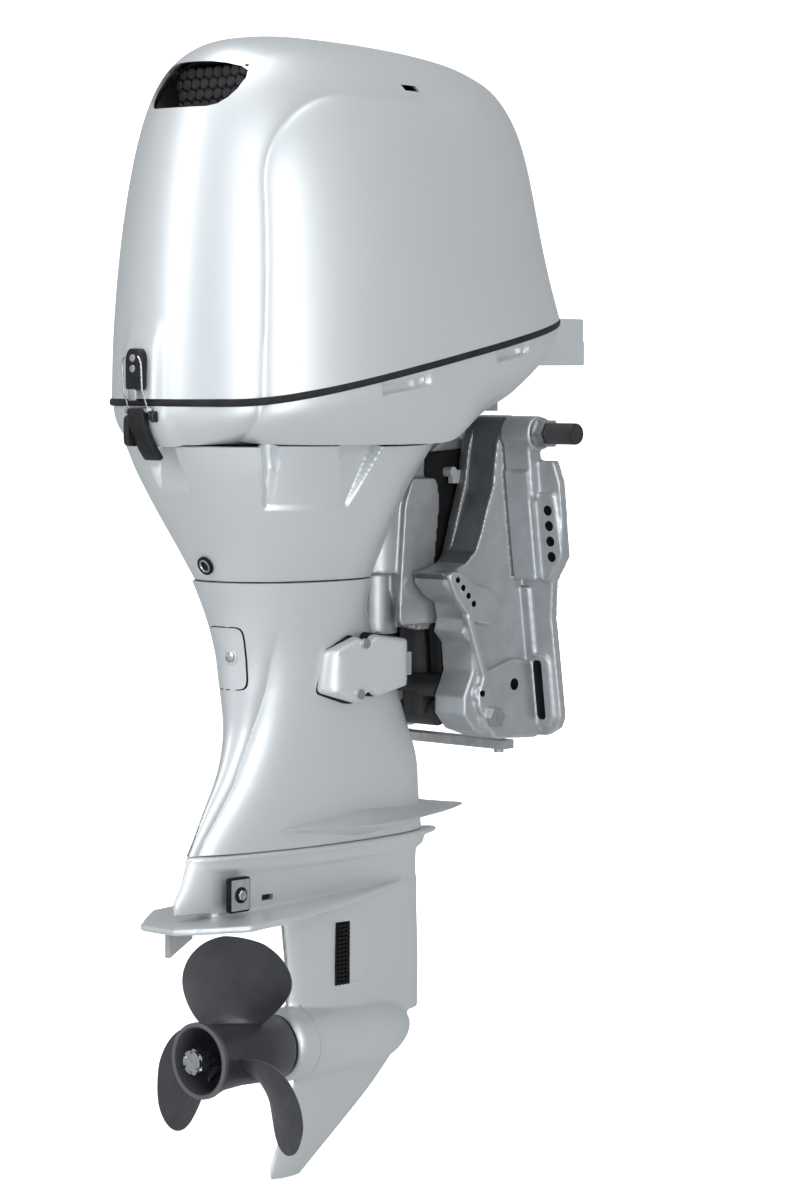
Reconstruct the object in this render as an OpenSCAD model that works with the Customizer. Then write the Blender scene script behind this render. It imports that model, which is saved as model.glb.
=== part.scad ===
// Outboard motor: power head, mid section, gearcase, propeller and transom bracket.
// Frame: origin at the centre of the tilt tube, +X forward, +Y to port, +Z up.
// Lengths are millimetres. The drive shaft is vertical.

/* [Power head] */
// Widest point of the engine cover
cover_w = 375; // [360:1:390]
// Reach of the cover aft of its widest point
cover_aft = 342; // [332:1:350]
// Reach of the cover forward of its widest point
cover_fore = 298; // [292:1:305]
// Highest point of the cover above the tilt axis
cover_top = 466; // [460:1:472]
// Wall of the cover and the lower pan
shell_wall = 4; // [3:0.5:5]
// Height of the lowest part of the pan
pan_floor_z = -12; // [-14:1:-10]

/* [Mid section] */
// Crank, drive shaft and pinion axis behind the tilt axis
drive_x = -205; // [-208:1:-203]
// Steering axis behind the tilt axis
steer_x = -130; // [-132:1:-128]
// Joint between the upper case and the extension case
case_joint_z = -171; // [-173:1:-169]
// Joint between the extension case and the gearcase
gearcase_joint_z = -490; // [-492:1:-488]
// Wall of the upper case and the extension case
case_wall = 6; // [5:0.5:7]
// Height of the lower rubber mounts
lower_mount_z = -278; // [-280:1:-276]
// Distance of the lower rubber mounts from the centre plane
lower_mount_y = 52; // [51:1:53]

/* [Gearcase and propeller] */
// Height of the propeller shaft
prop_z = -732; // [-734:1:-730]
// Outer radius of the gearcase torpedo
torpedo_r = 44; // [43:0.5:46]
// Propeller diameter
prop_d = 283; // [270:1:290]
// Propeller pitch
prop_pitch = 330; // [280:5:360]
// Number of blades
blade_count = 3; // [3:1:4]
// Teeth on the pinion
pinion_teeth = 12; // [12:4:12]
// Teeth on each driven gear
gear_teeth = 25; // [25:1:25]
// Gear module
gear_module = 2.5; // [2.4:0.1:2.5]
// Lowest point of the skeg
skeg_z = -894; // [-900:1:-885]

/* [Transom bracket] */
// Spacing of the upper transom bolts across the transom
bolt_span_top = 327; // [327:1:327]
// Spacing of the lower transom slots across the transom
bolt_span_low = 251; // [251:1:251]
// Pitch of the upper bolt holes down the transom
bolt_pitch = 19.05; // [19.05:0.01:19.05]
// Diameter of the transom bolt holes
bolt_hole_d = 13; // [12.5:0.5:14]
// Angle between the transom face and the drive shaft
transom_angle = 8; // [6:0.5:9]
// Outer diameter of the tilt tube
tilt_tube_d = 22.2; // [22.2:0.1:22.6]
// Bore of the tilt tube, which takes the steering cable
tilt_bore_d = 16.4; // [16:0.1:16.6]
// Half the length of the tilt tube
tilt_tube_half = 182; // [180:1:188]
// Clearance of a running fit, on the radius
fit = 0.06; // [0.04:0.01:0.09]

/* [Hidden] */
$fn = 48;
cover_x = -170;
cover_half = cover_w / 2;
seam_low = 36;
seam_gap = 4;
seam_inset = 5;
fringe = 0.4;
tilt_tube_r = tilt_tube_d / 2;
ear_r = 22;
barrel_r = 18;
ear_out = 155;
bracket_in = 58;
bracket_out = 108;
transom_face = 9.6;
flange_t = 12;
swivel_r = 18;
swivel_low = -245;
swivel_high = -32;
ram_foot = [-39, -346];
ram_head = [-62, -70];
ram_rod_r = 9;
ram_bore_r = 19;
gear_r = gear_teeth * gear_module / 2;
pinion_r = pinion_teeth * gear_module / 2;
gear_face = 0.35;
shaft_r = 10;
torpedo_aft = -294;
hub_aft = -421;
hub_fore = -298;
latch_pin = [-516, 27];
plate_tilt = 2.8;

// ---------- outlines and skins ----------

// Power that keeps the sign of its base
function spow(v, e) = sign(v) * pow(abs(v), e);

// Point at angle t on a rounded outline with its own reach and fullness fore and aft
function oval(t, s) =
    let (e = cos(t) > 0 ? 2 / s[6] : 2 / s[5], c = spow(cos(t), e), w = spow(sin(t), e))
    [s[1] + c * (c > 0 ? s[3] : s[2]), s[4] * w];

// Mean of a ring of points
function middle(ring) = [for (k = [0 : 2]) [for (p = ring) 1] * [for (p = ring) p[k]] / len(ring)];

// Linear blend of two lists
function mix(a, b, f) = a * (1 - f) + b * f;

// Section of a case at height z, blended between the rows of its table
function section(rows, z, i = 0) =
    i >= len(rows) - 2 || z >= rows[i + 1][0]
    ? mix(rows[i], rows[i + 1], (rows[i][0] - z) / (rows[i][0] - rows[i + 1][0]))
    : section(rows, z, i + 1);

// Ring of a case at height z, pulled in by a wall
function case_ring(rows, z, wall, count) =
    let (s = section(rows, z), w = [s[0], s[1], s[2] - wall, s[3] - wall, s[4] - wall, s[5], s[6]])
    [for (i = [0 : count - 1]) let (p = oval(360 * i / count, w)) [p[0], p[1], z]];

// Closed skin through rings of equal length, listed from the bottom of the outside up.
// With loop set, the last ring joins the first and there are no ends.
module skin(rings, loop = false) {
    n = len(rings[0]);
    m = len(rings);
    points = concat([for (r = rings) each r], [middle(rings[0]), middle(rings[m - 1])]);
    sides = [for (i = [0 : m - (loop ? 1 : 2)], j = [0 : n - 1])
        let (k = (j + 1) % n, a = i * n, b = ((i + 1) % m) * n)
        each [[a + j, b + j, b + k], [a + j, b + k, a + k]]];
    ends = [for (j = [0 : n - 1]) let (k = (j + 1) % n)
        each [[n * m, j, k], [n * m + 1, (m - 1) * n + k, (m - 1) * n + j]]];
    polyhedron(points, loop ? sides : concat(sides, ends), convexity = 8);
}

// ---------- shared placing ----------

// Children turned so that +Z is forward along X
module along_x() {
    rotate([0, 90, 0]) children();
}

// Children turned so that +Z points to port along Y
module along_y() {
    rotate([-90, 0, 0]) children();
}

// Extrusion along Y of an outline drawn with X across and Z up
module side_plate(y0, y1) {
    translate([0, y1, 0]) rotate([90, 0, 0]) linear_extrude(y1 - y0) children();
}

// Children with +X along the transom's outward normal and +Z up its slope
module on_transom() {
    rotate([0, -transom_angle, 0]) children();
}

// Ring-shaped tube standing on z0
module tube(outer, inner, z0, z1) {
    translate([0, 0, z0]) difference() {
        cylinder(r = outer, h = z1 - z0);
        translate([0, 0, -1]) cylinder(r = inner, h = z1 - z0 + 2);
    }
}

// Both sides of the centre plane
module both_sides() {
    children();
    mirror([0, 1, 0]) children();
}

// ---------- power head shells ----------

// Height of the seam between the cover and the pan
function seam_z(x) =
    let (d = max(0, x + 470), h = sqrt(d * d + 3600) - 60)
    seam_low + 0.25 * h - 0.00009 * h * h;

// Height of the cover's crown, which falls away fore, aft and sideways
function crown_z(x, y) =
    let (u = x + 270, fall = u > 0 ? 0.00012 * u * u + 0.00000047 * pow(u, 3) : 0.0006 * u * u)
    cover_top - fall - 0.0042 * y * y;

// Rounded ramp that is near zero below zero and near u above it
function ramp(u) = (u + sqrt(u * u + 400)) / 2;

// Height of the pan's underside, flat aft and rising forward over the bracket
function keel_z(x) = pan_floor_z + 0.85 * ramp(x + 147) - 0.56 * ramp(x + 102);

// Plan point of the power head, scaled fore, aft and sideways
function plan(t, fore, aft, side) =
    oval(t, [0, cover_x, cover_aft * aft, cover_fore * fore, cover_half * side, 2.15, 2.3]);

// Ring of the cover: turn 0 is the seam and 90 the crown
function cover_ring(turn, wall, count) =
    let (s = pow(sin(turn), 2 / 7), c = pow(cos(turn), 2 / 7), k = 1 - wall / cover_half)
    [for (i = [0 : count - 1])
        let (p = plan(360 * i / count, k * c * (1 - 0.38 * s + 0.17 * s * s),
                k * c * (1 - 0.15 * s * s + 0.07 * pow(s, 8)),
            k * c * (1 - 0.14 * pow(s, 1.5))),
            low = seam_z(p[0]) + seam_gap)
        [p[0], p[1], low + (crown_z(p[0], p[1]) - wall - low) * s]];

// Turns of the cover's rings, closer together near the seam and the crown
cover_turns = concat([for (i = [0 : 10]) 90 * pow(i / 11, 1.8)], [84, 88, 89.6, 89.97]);

// Ring of the pan: drop 0 is the seam and 1 the turn of the bilge
function pan_ring(drop, wall, count) =
    let (w = 1 - wall / cover_half, d = pow(drop, 2.2), k = w * (1 - 0.18 * d) - 0.008)
    [for (i = [0 : count - 1])
        let (p = plan(360 * i / count, k, w * (1 - 0.045 * d) - 0.008, k), top = seam_z(p[0]) - seam_gap)
        [p[0], p[1], top + (keel_z(p[0]) + wall - top) * drop]];

// Ring across the pan's underside
function floor_ring(reach, wall, count) =
    [for (i = [0 : count - 1])
        let (p = plan(360 * i / count, reach, reach, reach)) [p[0], p[1], keel_z(p[0]) + wall]];

module engine_cover() {
    color("silver") difference() {
        skin(concat(
            [for (i = [len(cover_turns) - 1 : -1 : 0]) cover_ring(cover_turns[i], shell_wall, 40)],
            [for (t = cover_turns) cover_ring(t, 0, 40)]));
        translate([-490, -72, 378]) cube([110, 144, 44]);
    }
}

module lower_pan() {
    drops = [0, 0.35, 0.65, 0.85, 1];
    color("silver") difference() {
        skin(concat(
            [floor_ring(0.3, 0, 40), floor_ring(0.6, 0, 40)],
            [for (i = [4 : -1 : 0]) pan_ring(drops[i], 0, 40)],
            [for (d = drops) pan_ring(d, shell_wall, 40)],
            [floor_ring(0.6, shell_wall, 40), floor_ring(0.3, shell_wall, 40)]));
        translate([drive_x, 0, -60]) cylinder(r = 30, h = 80);
        translate([-300, 0, -60]) cylinder(r = 26, h = 80);
        translate([90, -42, 96]) cube([80, 84, 24]);
    }
    // lugs for the latch lever's pin
    color("silver") both_sides() difference() {
        translate([latch_pin[0] - 6, 13.8, latch_pin[1] - 6]) cube([24, 5, 12]);
        translate([latch_pin[0], 10, latch_pin[1]]) along_y() cylinder(r = 4 + fit, h = 12);
    }
}

// Solid that fills the outside of the pan
module pan_solid() {
    skin(concat([floor_ring(0.3, 0, 40), floor_ring(0.6, 0, 40)],
        [for (d = [1, 0.85, 0.65, 0.35, 0]) pan_ring(d, -fringe, 40)]));
}

// Rubber seal that fills the seam
module cowl_seal() {
    lip = seam_inset + 9;
    color("dimgray") skin([for (q = [[-1, seam_inset], [1, seam_inset], [1, lip], [-1, lip]])
        [for (i = [0 : 47])
            let (k = 1 - q[1] / cover_half, p = plan(7.5 * i, k, k, k))
            [p[0], p[1], seam_z(p[0]) + q[0] * (seam_gap - 2 * fringe)]]], loop = true);
}

// Housing on the pan's front, where controls and cables come in
module front_cover() {
    color("silver") difference() {
        union() {
            translate([60, -62, 84]) cube([134, 124, 30]);
            translate([60, -60, 113]) cube([130, 120, 4]);
            translate([60, -61, 116]) cube([133, 122, 27]);
        }
        pan_solid();
        translate([40, -54, 92]) cube([146, 108, 44]);
        translate([40, -80, 120]) cube([cover_x + cover_fore + 2 - 40, 160, 40]);
        translate([170, 0, 106]) along_x() cylinder(r = 14, h = 40);
    }
}

// Rubber grommet in the front cover for the rigging cables
module rigging_grommet() {
    color("dimgray") translate([184, 0, 106]) along_x() difference() {
        union() {
            cylinder(r = 13.8, h = 14);
            translate([0, 0, 10.4]) cylinder(r = 18, h = 5);
        }
        translate([0, 0, -1]) cylinder(r = 9, h = 20);
    }
}

// Moulded duct and mesh behind the air intake
module intake_duct() {
    plan_points = [[-420, -40], [-394, -62], [-352, -66], [-352, 66], [-394, 62], [-420, 40]];
    color("dimgray") difference() {
        translate([0, 0, 379]) linear_extrude(36) polygon(plan_points);
        translate([-7, 0, 383]) linear_extrude(28) offset(delta = -4) polygon(plan_points);
        translate([-440, -36, 383]) cube([40, 72, 28]);
        translate([-370, 0, 397]) along_x() for (i = [-5 : 5], j = [-1 : 1])
            translate([j * 9, i * 10.4 + (j == 0 ? 5.2 : 0), 0]) cylinder(r = 4.2, h = 40, $fn = 6);
    }
}

// Solid that fills the lowest rings of the cover
module cover_foot() {
    skin([for (i = [0 : 6]) cover_ring(cover_turns[i], -fringe, 40)]);
}

// Striker housing and strap on the cover's aft face
module latch_striker() {
    color("dimgray") difference() {
        translate([-524, -14, 50]) cube([24, 28, 46]);
        translate([-530, -8, 48]) cube([12, 16, 18]);
        cover_foot();
    }
    color("dimgray") for (z = [74, 86]) translate([-525.5, 0, z]) along_x() cylinder(r = 3, h = 4);
    color("silver") translate([-518, -6, 36]) cube([3, 12, 18]);
}

// Latch lever that hangs on its pin between the pan's lugs
module latch_lever() {
    color("dimgray") {
        translate([latch_pin[0], -19, latch_pin[1]]) along_y() cylinder(r = 4, h = 38);
        side_plate(-13.4, 13.4) polygon([[-521, 33], [-512, 33], [-510.5, 10], [-503.5, -5], [-495, -17],
            [-487, -27],
            [-494, -31], [-503, -20], [-512, -6], [-519.5, 10], [-522.5, 27]]);
    }
}

// ---------- engine ----------

module engine_block() {
    color("gray") difference() {
        union() {
            translate([drive_x - 60, -78, 60]) cube([118, 156, 262]);
            translate([drive_x - 140, -62, 66]) cube([90, 124, 250]);
            translate([drive_x - 120, -70, 4]) cube([140, 140, 58]);
        }
        translate([drive_x, 0, 72]) cylinder(r = 52, h = 238);
        translate([drive_x, 0, -20]) cylinder(r = 20 + fit, h = 400);
        translate([drive_x, 0, -20]) cylinder(r = 30, h = 78);
        translate([-300, 0, -20]) cylinder(r = 19, h = 70);
        for (i = [0 : 2]) translate([drive_x - 150, 0, 108 + 83 * i]) along_x() cylinder(r = 35, h = 120);
    }
}

module cylinder_head() {
    color("gray") translate([-412, 0, 0]) difference() {
        translate([0, -64, 62]) cube([66.5, 128, 262]);
        translate([20, 0, 74]) cylinder(r = 22, h = 236);
        translate([20, 0, 50]) cylinder(r = 12 + fit, h = 300);
        for (i = [0 : 2]) translate([56, 0, 108 + 83 * i]) along_x() cylinder(r = 33, h = 12);
    }
}

module head_cover() {
    color("dimgray") difference() {
        union() {
            translate([-442, -56, 72]) cube([29.5, 112, 244]);
            translate([-446, -30, 90]) cube([6, 60, 208]);
        }
        translate([-436, -50, 78]) cube([30, 100, 232]);
    }
}

module intake_manifold() {
    color("dimgray") {
        for (i = [0 : 2]) translate([-372, 64.5, 108 + 83 * i]) {
            along_y() tube(19, 15, 0, 31);
        }
        difference() {
            translate([-388, 95, 90]) cube([134, 24, 200]);
            translate([-385, 98, 93]) cube([128, 18, 194]);
        }
    }
}

module starter_motor() {
    color("dimgray") translate([drive_x + 98, -60, 0]) {
        translate([0, 0, 190]) cylinder(r = 32, h = 120);
        translate([0, 0, 310]) cylinder(r = 20, h = 22);
        translate([-40, 8, 230]) cube([12, 30, 40]);
    }
}

module oil_filter() {
    color("dimgray") translate([drive_x + 58.5, 50, 110]) along_x() {
        cylinder(r = 33, h = 70);
        translate([0, 0, 70]) cylinder(r1 = 33, r2 = 27, h = 6);
    }
}

module control_unit() {
    color("dimgray") translate([-10, -70, 180]) {
        cube([34, 140, 120]);
        translate([34, 12, 10]) cube([4, 116, 100]);
    }
}

// Toothed belt round the crank and cam pulleys
module timing_belt() {
    color("black") translate([0, 0, 332]) linear_extrude(14) difference() {
        hull() {
            translate([drive_x, 0]) circle(r = 28.4, $fn = 32);
            translate([-392, 0]) circle(r = 53.4, $fn = 32);
        }
        hull() {
            translate([drive_x, 0]) circle(r = 26, $fn = 32);
            translate([-392, 0]) circle(r = 51, $fn = 32);
        }
    }
}

module crankshaft() {
    color("silver") translate([drive_x, 0, 0]) {
        translate([0, 0, 30]) cylinder(r = 20, h = 300);
        for (i = [0 : 2]) translate([0, 0, 94 + 83 * i]) {
            rotate(120 * i) {
                cylinder(r = 40, h = 8);
                translate([0, 0, 20]) cylinder(r = 40, h = 8);
                translate([30, 0, 0]) cylinder(r = 18, h = 28);
            }
        }
        translate([0, 0, 330]) cylinder(r = 25, h = 18);
    }
}

module flywheel() {
    color("dimgray") translate([drive_x, 0, 348]) difference() {
        union() {
            cylinder(r = 100, h = 26);
            cylinder(r = 34, h = 36);
            for (i = [0 : 11]) rotate(30 * i) translate([60, -2, 26]) cube([34, 4, 8]);
        }
        translate([0, 0, 8]) rotate_extrude() translate([58, -20]) square([36, 24]);
    }
}

module camshaft() {
    color("silver") translate([-392, 0, 0]) {
        translate([0, 0, 60]) cylinder(r = 12, h = 272);
        for (i = [0 : 2], j = [0, 1]) translate([0, 0, 90 + 83 * i + 26 * j])
            rotate(120 * i + 90 * j) translate([5, 0, 0]) cylinder(r = 13, h = 12);
        translate([0, 0, 332]) difference() {
            cylinder(r = 50, h = 14);
            for (i = [0 : 4]) rotate(72 * i) translate([31, 0, -1]) cylinder(r = 11, h = 20);
        }
    }
}

module exhaust_tube() {
    color("gray") translate([-300, 0, 0]) {
        tube(18.6, 15, -400, 44);
    }
}

// ---------- mid section ----------

// Sections of the upper case: height, centre, reach aft and forward, half width, fullness
upper_rows = [
    [pan_floor_z - 0.5, -244, 243, 161, 138, 2.6, 2.3],
    [-43, -255, 217, 136, 131, 2.6, 2.3],
    [-95, -266, 174, 114, 117, 2.55, 2.3],
    [-135, -274, 143, 112, 100, 2.45, 2.3],
    [case_joint_z, -281, 121, 115, 79, 2.3, 2.3]];

// Sections of the extension case
extension_rows = [
    [case_joint_z - 0.5, -281, 121, 111, 78, 2.3, 2.3],
    [-216, -276, 110, 107, 66, 2.2, 2.3],
    [-251, -261, 118, 114, 60, 2.1, 2.3],
    [-299, -243, 132, 129, 55, 2, 2.3],
    [-350, -230, 144, 142, 51, 1.9, 2.2],
    [-400, -225, 163, 160, 46, 1.8, 2.2],
    [-445, -231, 182, 174, 41, 1.7, 2.1],
    [gearcase_joint_z + 0.5, -242, 196, 192, 36, 1.6, 2.1]];

// Sections of the gearcase leg
leg_rows = [
    [gearcase_joint_z, -242, 196, 192, 36, 1.6, 2.1],
    [-525, -246, 204, 192, 31, 1.6, 2.1],
    [-556, -250, 215, 194, 27, 1.6, 2.1],
    [-572, -170, 117, 118, 24, 1.6, 2.1],
    [-640, -167, 112, 118, 23, 1.6, 2.1],
    [-700, -166, 110, 117, 24, 1.6, 2.1]];

// Wall of a case as a closed loop of skin between two of its heights
module case_shell(rows, heights, wall, count) {
    low_up = [for (i = [len(heights) - 1 : -1 : 0]) heights[i]];
    skin(concat([for (z = low_up) case_ring(rows, z, 0, count)],
        [for (z = heights) case_ring(rows, z, wall, count)]), loop = true);
}

module upper_case() {
    heights = [for (r = upper_rows) r[0]];
    rings = [for (i = [len(heights) - 1 : -1 : 1]) case_ring(upper_rows, heights[i], 0, 40)];
    inside = [for (i = [1 : len(heights) - 1]) case_ring(upper_rows, heights[i], case_wall, 40)];
    color("silver") difference() {
        union() {
            skin(concat(rings, [rim_ring(0), rim_ring(case_wall)], inside), loop = true);
            // deck that carries the pan and the engine
            translate([0, 0, -30]) linear_extrude(14)
                polygon([for (p = case_ring(upper_rows, -30, 3, 40)) [p[0], p[1]]]);
        }
        // opening for the swivel bracket's arms, wide enough for full steering
        translate([steer_x, 0, case_joint_z - 5]) cylinder(r = 55, h = 220);
        translate([steer_x, 0, case_joint_z - 5]) linear_extrude(220)
            polygon([[0, 0], [45, 122], [200, 122], [200, -122], [45, -122]]);
        translate([drive_x - 17, -64, -40]) cube([100, 128, 60]);
        translate([-300, 0, -40]) cylinder(r = 19, h = 60);
        translate([-420, 0, -156]) along_x() cylinder(r = 7, h = 30);
        translate([-430, 0, -156]) along_x() cylinder(r = 9.5, h = 23.6);
    }
}

// Top ring of the upper case, which follows the pan's underside
function rim_ring(wall) = [for (p = case_ring(upper_rows, upper_rows[0][0], wall, 40))
    [p[0], p[1], keel_z(p[0]) - 2.6]];

module flush_plug() {
    color("dimgray") translate([-410.6, 0, -156]) along_x() {
        difference() {
            cylinder(r = 9, h = 4);
            translate([0, 0, -1]) cylinder(r = 5, h = 4);
        }
        cylinder(r = 3, h = 4);
        translate([0, 0, 3.9]) cylinder(r = 6.9, h = 14);
    }
}

module extension_case() {
    color("silver") {
        difference() {
            case_shell(extension_rows, [for (r = extension_rows) r[0]], case_wall, 40);
            translate([steer_x, 0, lower_mount_z - 22]) cylinder(r = 53, h = 160);
            for (s = [-1, 1]) translate([-274, s * lower_mount_y, lower_mount_z])
                along_x() cylinder(r = 20.6, h = 160);
            translate([-390, -13, -262]) along_x() cylinder(r = 7, h = 40);
        }
        splash_plate();
    }
}

// Flat rim round the foot of the extension case
module splash_plate() {
    translate([0, 0, -470]) linear_extrude(5) difference() {
        polygon([for (i = [0 : 39]) oval(9 * i, [0, -190, 160, 225, 74, 1.7, 1.35])]);
        polygon([for (i = [0 : 39]) oval(9 * i, [0, -236, 180, 176, 34, 1.7, 2.1])]);
    }
}

module access_panel() {
    color("silver") difference() {
        intersection() {
            translate([-390, -33, -302]) cube([40, 66, 72]);
            case_solid(2.6);
        }
        case_solid(fringe);
        translate([-400, -13, -262]) along_x() cylinder(r = 6, h = 40);
    }
}

module panel_screw() {
    color("gray") translate([-380, -13, -262]) along_x() difference() {
        cylinder(r = 5.7, h = 18);
        translate([-7, -0.8, -1]) cube([14, 1.6, 2.4]);
    }
}

// Solid of the extension case round the lower mounts, grown by a skin
module case_solid(grow) {
    skin([for (z = [-340, -299, -251, -216]) case_ring(extension_rows, z, -grow, 40)]);
}

// Cover over one lower mount
module mount_cover() {
    difference() {
        side_plate(-90, -34) polygon([[-276, lower_mount_z - 32], [-276, lower_mount_z + 20],
            [-222, lower_mount_z + 38],
            [-152, lower_mount_z + 38], [-152, lower_mount_z - 26], [-190, lower_mount_z - 38]]);
        translate([0, 0, -400]) linear_extrude(200)
            polygon([[-290, -66], [-276, -66], [-266, -73], [-166, -86], [-152, -80], [-140, -80],
                [-140, -120], [-290, -120]]);
        case_solid(fringe);
        translate([-271, -lower_mount_y, lower_mount_z]) along_x() cylinder(r = 20.6, h = 79);
        translate([-210, -lower_mount_y, lower_mount_z]) along_x() cylinder(r = 9.4, h = 80);
        translate([steer_x, 0, lower_mount_z - 50]) cylinder(r = 53, h = 100);
        translate([-161, -70, lower_mount_z - 15]) cube([40, 60, 30]);
    }
}

module mount_cover_starboard() {
    color("silver") mount_cover();
}

module mount_cover_port() {
    color("silver") mirror([0, 1, 0]) mount_cover();
}

module mount_cover_bolts() {
    color("gray") both_sides() for (p = [[-228, 30, -85], [-236, -30, -84]])
        translate([p[0], p[2], lower_mount_z + p[1]]) along_y() cylinder(r = 6, h = 5.4);
}

// Rubber sleeves of the two upper and two lower mounts
module mount_rubbers() {
    color("dimgray") both_sides() {
        translate([-270, -lower_mount_y, lower_mount_z]) along_x() tube(20, 9.2, 0, 76);
        translate([-290, -42, -52]) along_x() tube(20, 7.2, 0, 60);
    }
}

// Swivel shaft with the steering arm forward and the upper mount yoke aft
module swivel_shaft() {
    color("gray") difference() {
        union() {
            translate([steer_x, 0, swivel_low - 12]) cylinder(r = swivel_r, h = -28 - swivel_low + 12);
            translate([steer_x, 0, -28]) cylinder(r = 30, h = 14);
            side_plate(-17, 17) polygon([[-150, -28], [-96, -28], [-64, -6], [-32, 20], [-20, 26], [78, 26],
                [78, 38], [8, 38], [-18, 33], [-46, 18], [-80, 0], [-106, -14], [-150, -14]]);
            translate([-200, -58, -66]) cube([12, 116, 50]);
            translate([-190, -20, -28]) cube([50, 40, 14]);
            for (s = [-1, 1]) translate([-306, s * 42, -52]) along_x() cylinder(r = 7, h = 110);
        }
        translate([62, 0, 20]) cylinder(r = 5, h = 30);
        translate([drive_x, 0, -70]) cylinder(r = shaft_r + 4, h = 70);
    }
}

// Yoke on the foot of the swivel shaft, with the lower mount bolts
module lower_yoke() {
    color("gray") {
        difference() {
            union() {
                translate([steer_x, 0, lower_mount_z - 16]) cylinder(r = 30, h = 32);
                translate([steer_x - 24, -64, lower_mount_z - 14]) cube([26, 128, 28]);
            }
            translate([steer_x, 0, lower_mount_z - 20]) cylinder(r = swivel_r + fit, h = 60);
        }
        for (s = [-1, 1]) translate([-268, s * lower_mount_y, lower_mount_z])
            along_x() cylinder(r = 9, h = 120);
    }
}

// ---------- gearcase ----------

module gearcase() {
    color("silver") difference() {
        union() {
            skin([for (i = [len(leg_rows) - 1 : -1 : 0]) case_ring(leg_rows, leg_rows[i][0], 0, 32)]);
            translate([0, 0, prop_z]) rotate([0, 90, 0]) rotate_extrude() polygon(concat(
                [[0, torpedo_aft], [torpedo_r - 2, torpedo_aft], [torpedo_r, torpedo_aft + 8]],
                [for (i = [0 : 8]) [torpedo_r * cos(11.25 * i), -150 + 80 * sin(11.25 * i)]]));
            skeg();
            cavitation_plate();
        }
        translate([drive_x, 0, prop_z]) cylinder(r = shaft_r + 5, h = 300);
        translate([drive_x, 0, -720]) cylinder(r = 19, h = 26);
        translate([-172, 0, -738]) cylinder(r = 5, h = 300);
        translate([torpedo_aft - 10, 0, prop_z]) along_x() cylinder(r = 38, h = -156 - torpedo_aft + 10);
        translate([-170, 0, prop_z]) along_x() cylinder(r = 12 + fit, h = 60);
        translate([-388, -34, -536]) along_y() cylinder(r = 4, h = 12);
        translate([-355, -40, -546]) cube([12, 18, 6]);
        translate([-228, -40, -662]) cube([18, 80, 70]);
    }
}

// Flat fin below the torpedo
module skeg() {
    rows = [[-88, -262, -764, 12], [-126, -271, -800, 9], [-190, -290, -848, 7], [-252, -303, skeg_z, 5]];
    skin([for (i = [3 : -1 : 0]) let (r = rows[i], c = (r[0] + r[1]) / 2, h = (r[0] - r[1]) / 2)
        [for (j = [0 : 23]) let (p = oval(15 * j, [0, c, h, h, r[3], 1.4, 1.8])) [p[0], p[1], r[2]]]]);
}

// Plate above the propeller and the smaller rim at the joint
module cavitation_plate() {
    translate([0, 0, -551]) rotate([0, -plate_tilt, 0]) linear_extrude(8)
        polygon([for (i = [0 : 39]) oval(9 * i, [0, -370, 102, 300, 86, 3, 1.3])]);
    translate([0, 0, -498]) linear_extrude(7)
        polygon([for (i = [0 : 39]) oval(9 * i, [0, -225, 215, 210, 44, 1.6, 1.7])]);
}

module water_screens() {
    color("black") both_sides() translate([-227.7, -26.5, -661.7]) difference() {
        cube([17.4, 4, 69.4]);
        for (i = [0 : 5]) translate([3, -1, 4 + 11 * i]) cube([11.4, 3, 7]);
    }
}

module trim_tab() {
    color("silver") translate([-452, 0, -573.6]) mirror([0, 0, 1]) {
        cylinder(r = 13, h = 5);
        difference() {
            translate([-18, -4, 4]) cube([36, 8, 38]);
            translate([-24, -6, 34]) rotate([0, 28, 0]) cube([60, 12, 40]);
        }
    }
}

module gearcase_anode() {
    color("gray") translate([-388, -31, -536]) difference() {
        translate([-14, -6, -18]) cube([28, 6, 36]);
        translate([0, -7, 0]) along_y() cylinder(r = 4, h = 8);
    }
}

module bearing_carrier() {
    color("gray") translate([0, 0, prop_z]) difference() {
        union() {
            translate([-292, 0, 0]) along_x() cylinder(r = 37.8, h = 12);
            translate([-292, 0, 0]) along_x() cylinder(r = 24, h = 44);
        }
        translate([-300, 0, 0]) along_x() cylinder(r = 12 + fit, h = 60);
        for (i = [0 : 3]) rotate([90 * i + 45, 0, 0])
            translate([-300, 31, 0]) along_x() cylinder(r = 4, h = 30);
    }
}

module water_pump_housing() {
    color("dimgray") translate([drive_x, 0, gearcase_joint_z + 0.5]) difference() {
        union() {
            cylinder(r = 27, h = 26);
            translate([0, 0, 26]) cylinder(r = 18, h = 10);
            translate([-44, -8, 4]) cube([24, 16, 22]);
        }
        translate([0, 0, 4]) cylinder(r = 23, h = 18);
        translate([0, 0, -1]) cylinder(r = shaft_r + fit, h = 50);
    }
}

module pump_impeller() {
    color("black") translate([drive_x, 0, gearcase_joint_z + 5.5]) difference() {
        union() {
            cylinder(r = 14, h = 14);
            for (i = [0 : 5]) rotate(60 * i) translate([12, -1.5, 0]) cube([10, 3, 14]);
        }
        translate([0, 0, -1]) cylinder(r = shaft_r, h = 20);
    }
}

// Teeth laid along the pitch cone of a bevel gear that turns about +Z, with its apex below
module bevel_teeth(count, r, apex) {
    cone = atan2(r, apex);
    run = norm([r, apex]);
    for (i = [0 : count - 1]) rotate(360 * i / count) rotate([0, cone, 0])
        translate([-2.8, -0.9, run * (1 - gear_face)]) cube([4.4, 1.8, run * gear_face]);
}

// Solid cone under the teeth, from the back face to the inner end
module bevel_body(r, apex, depth) {
    k = 1 - gear_face;
    q = depth / norm([r, apex]);
    rotate_extrude() polygon([[0, apex * k + r * q], [r * k - apex * q, apex * k + r * q],
        [r - apex * q, apex + r * q], [r - apex * q, apex + 10], [0, apex + 10]]);
}

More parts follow.
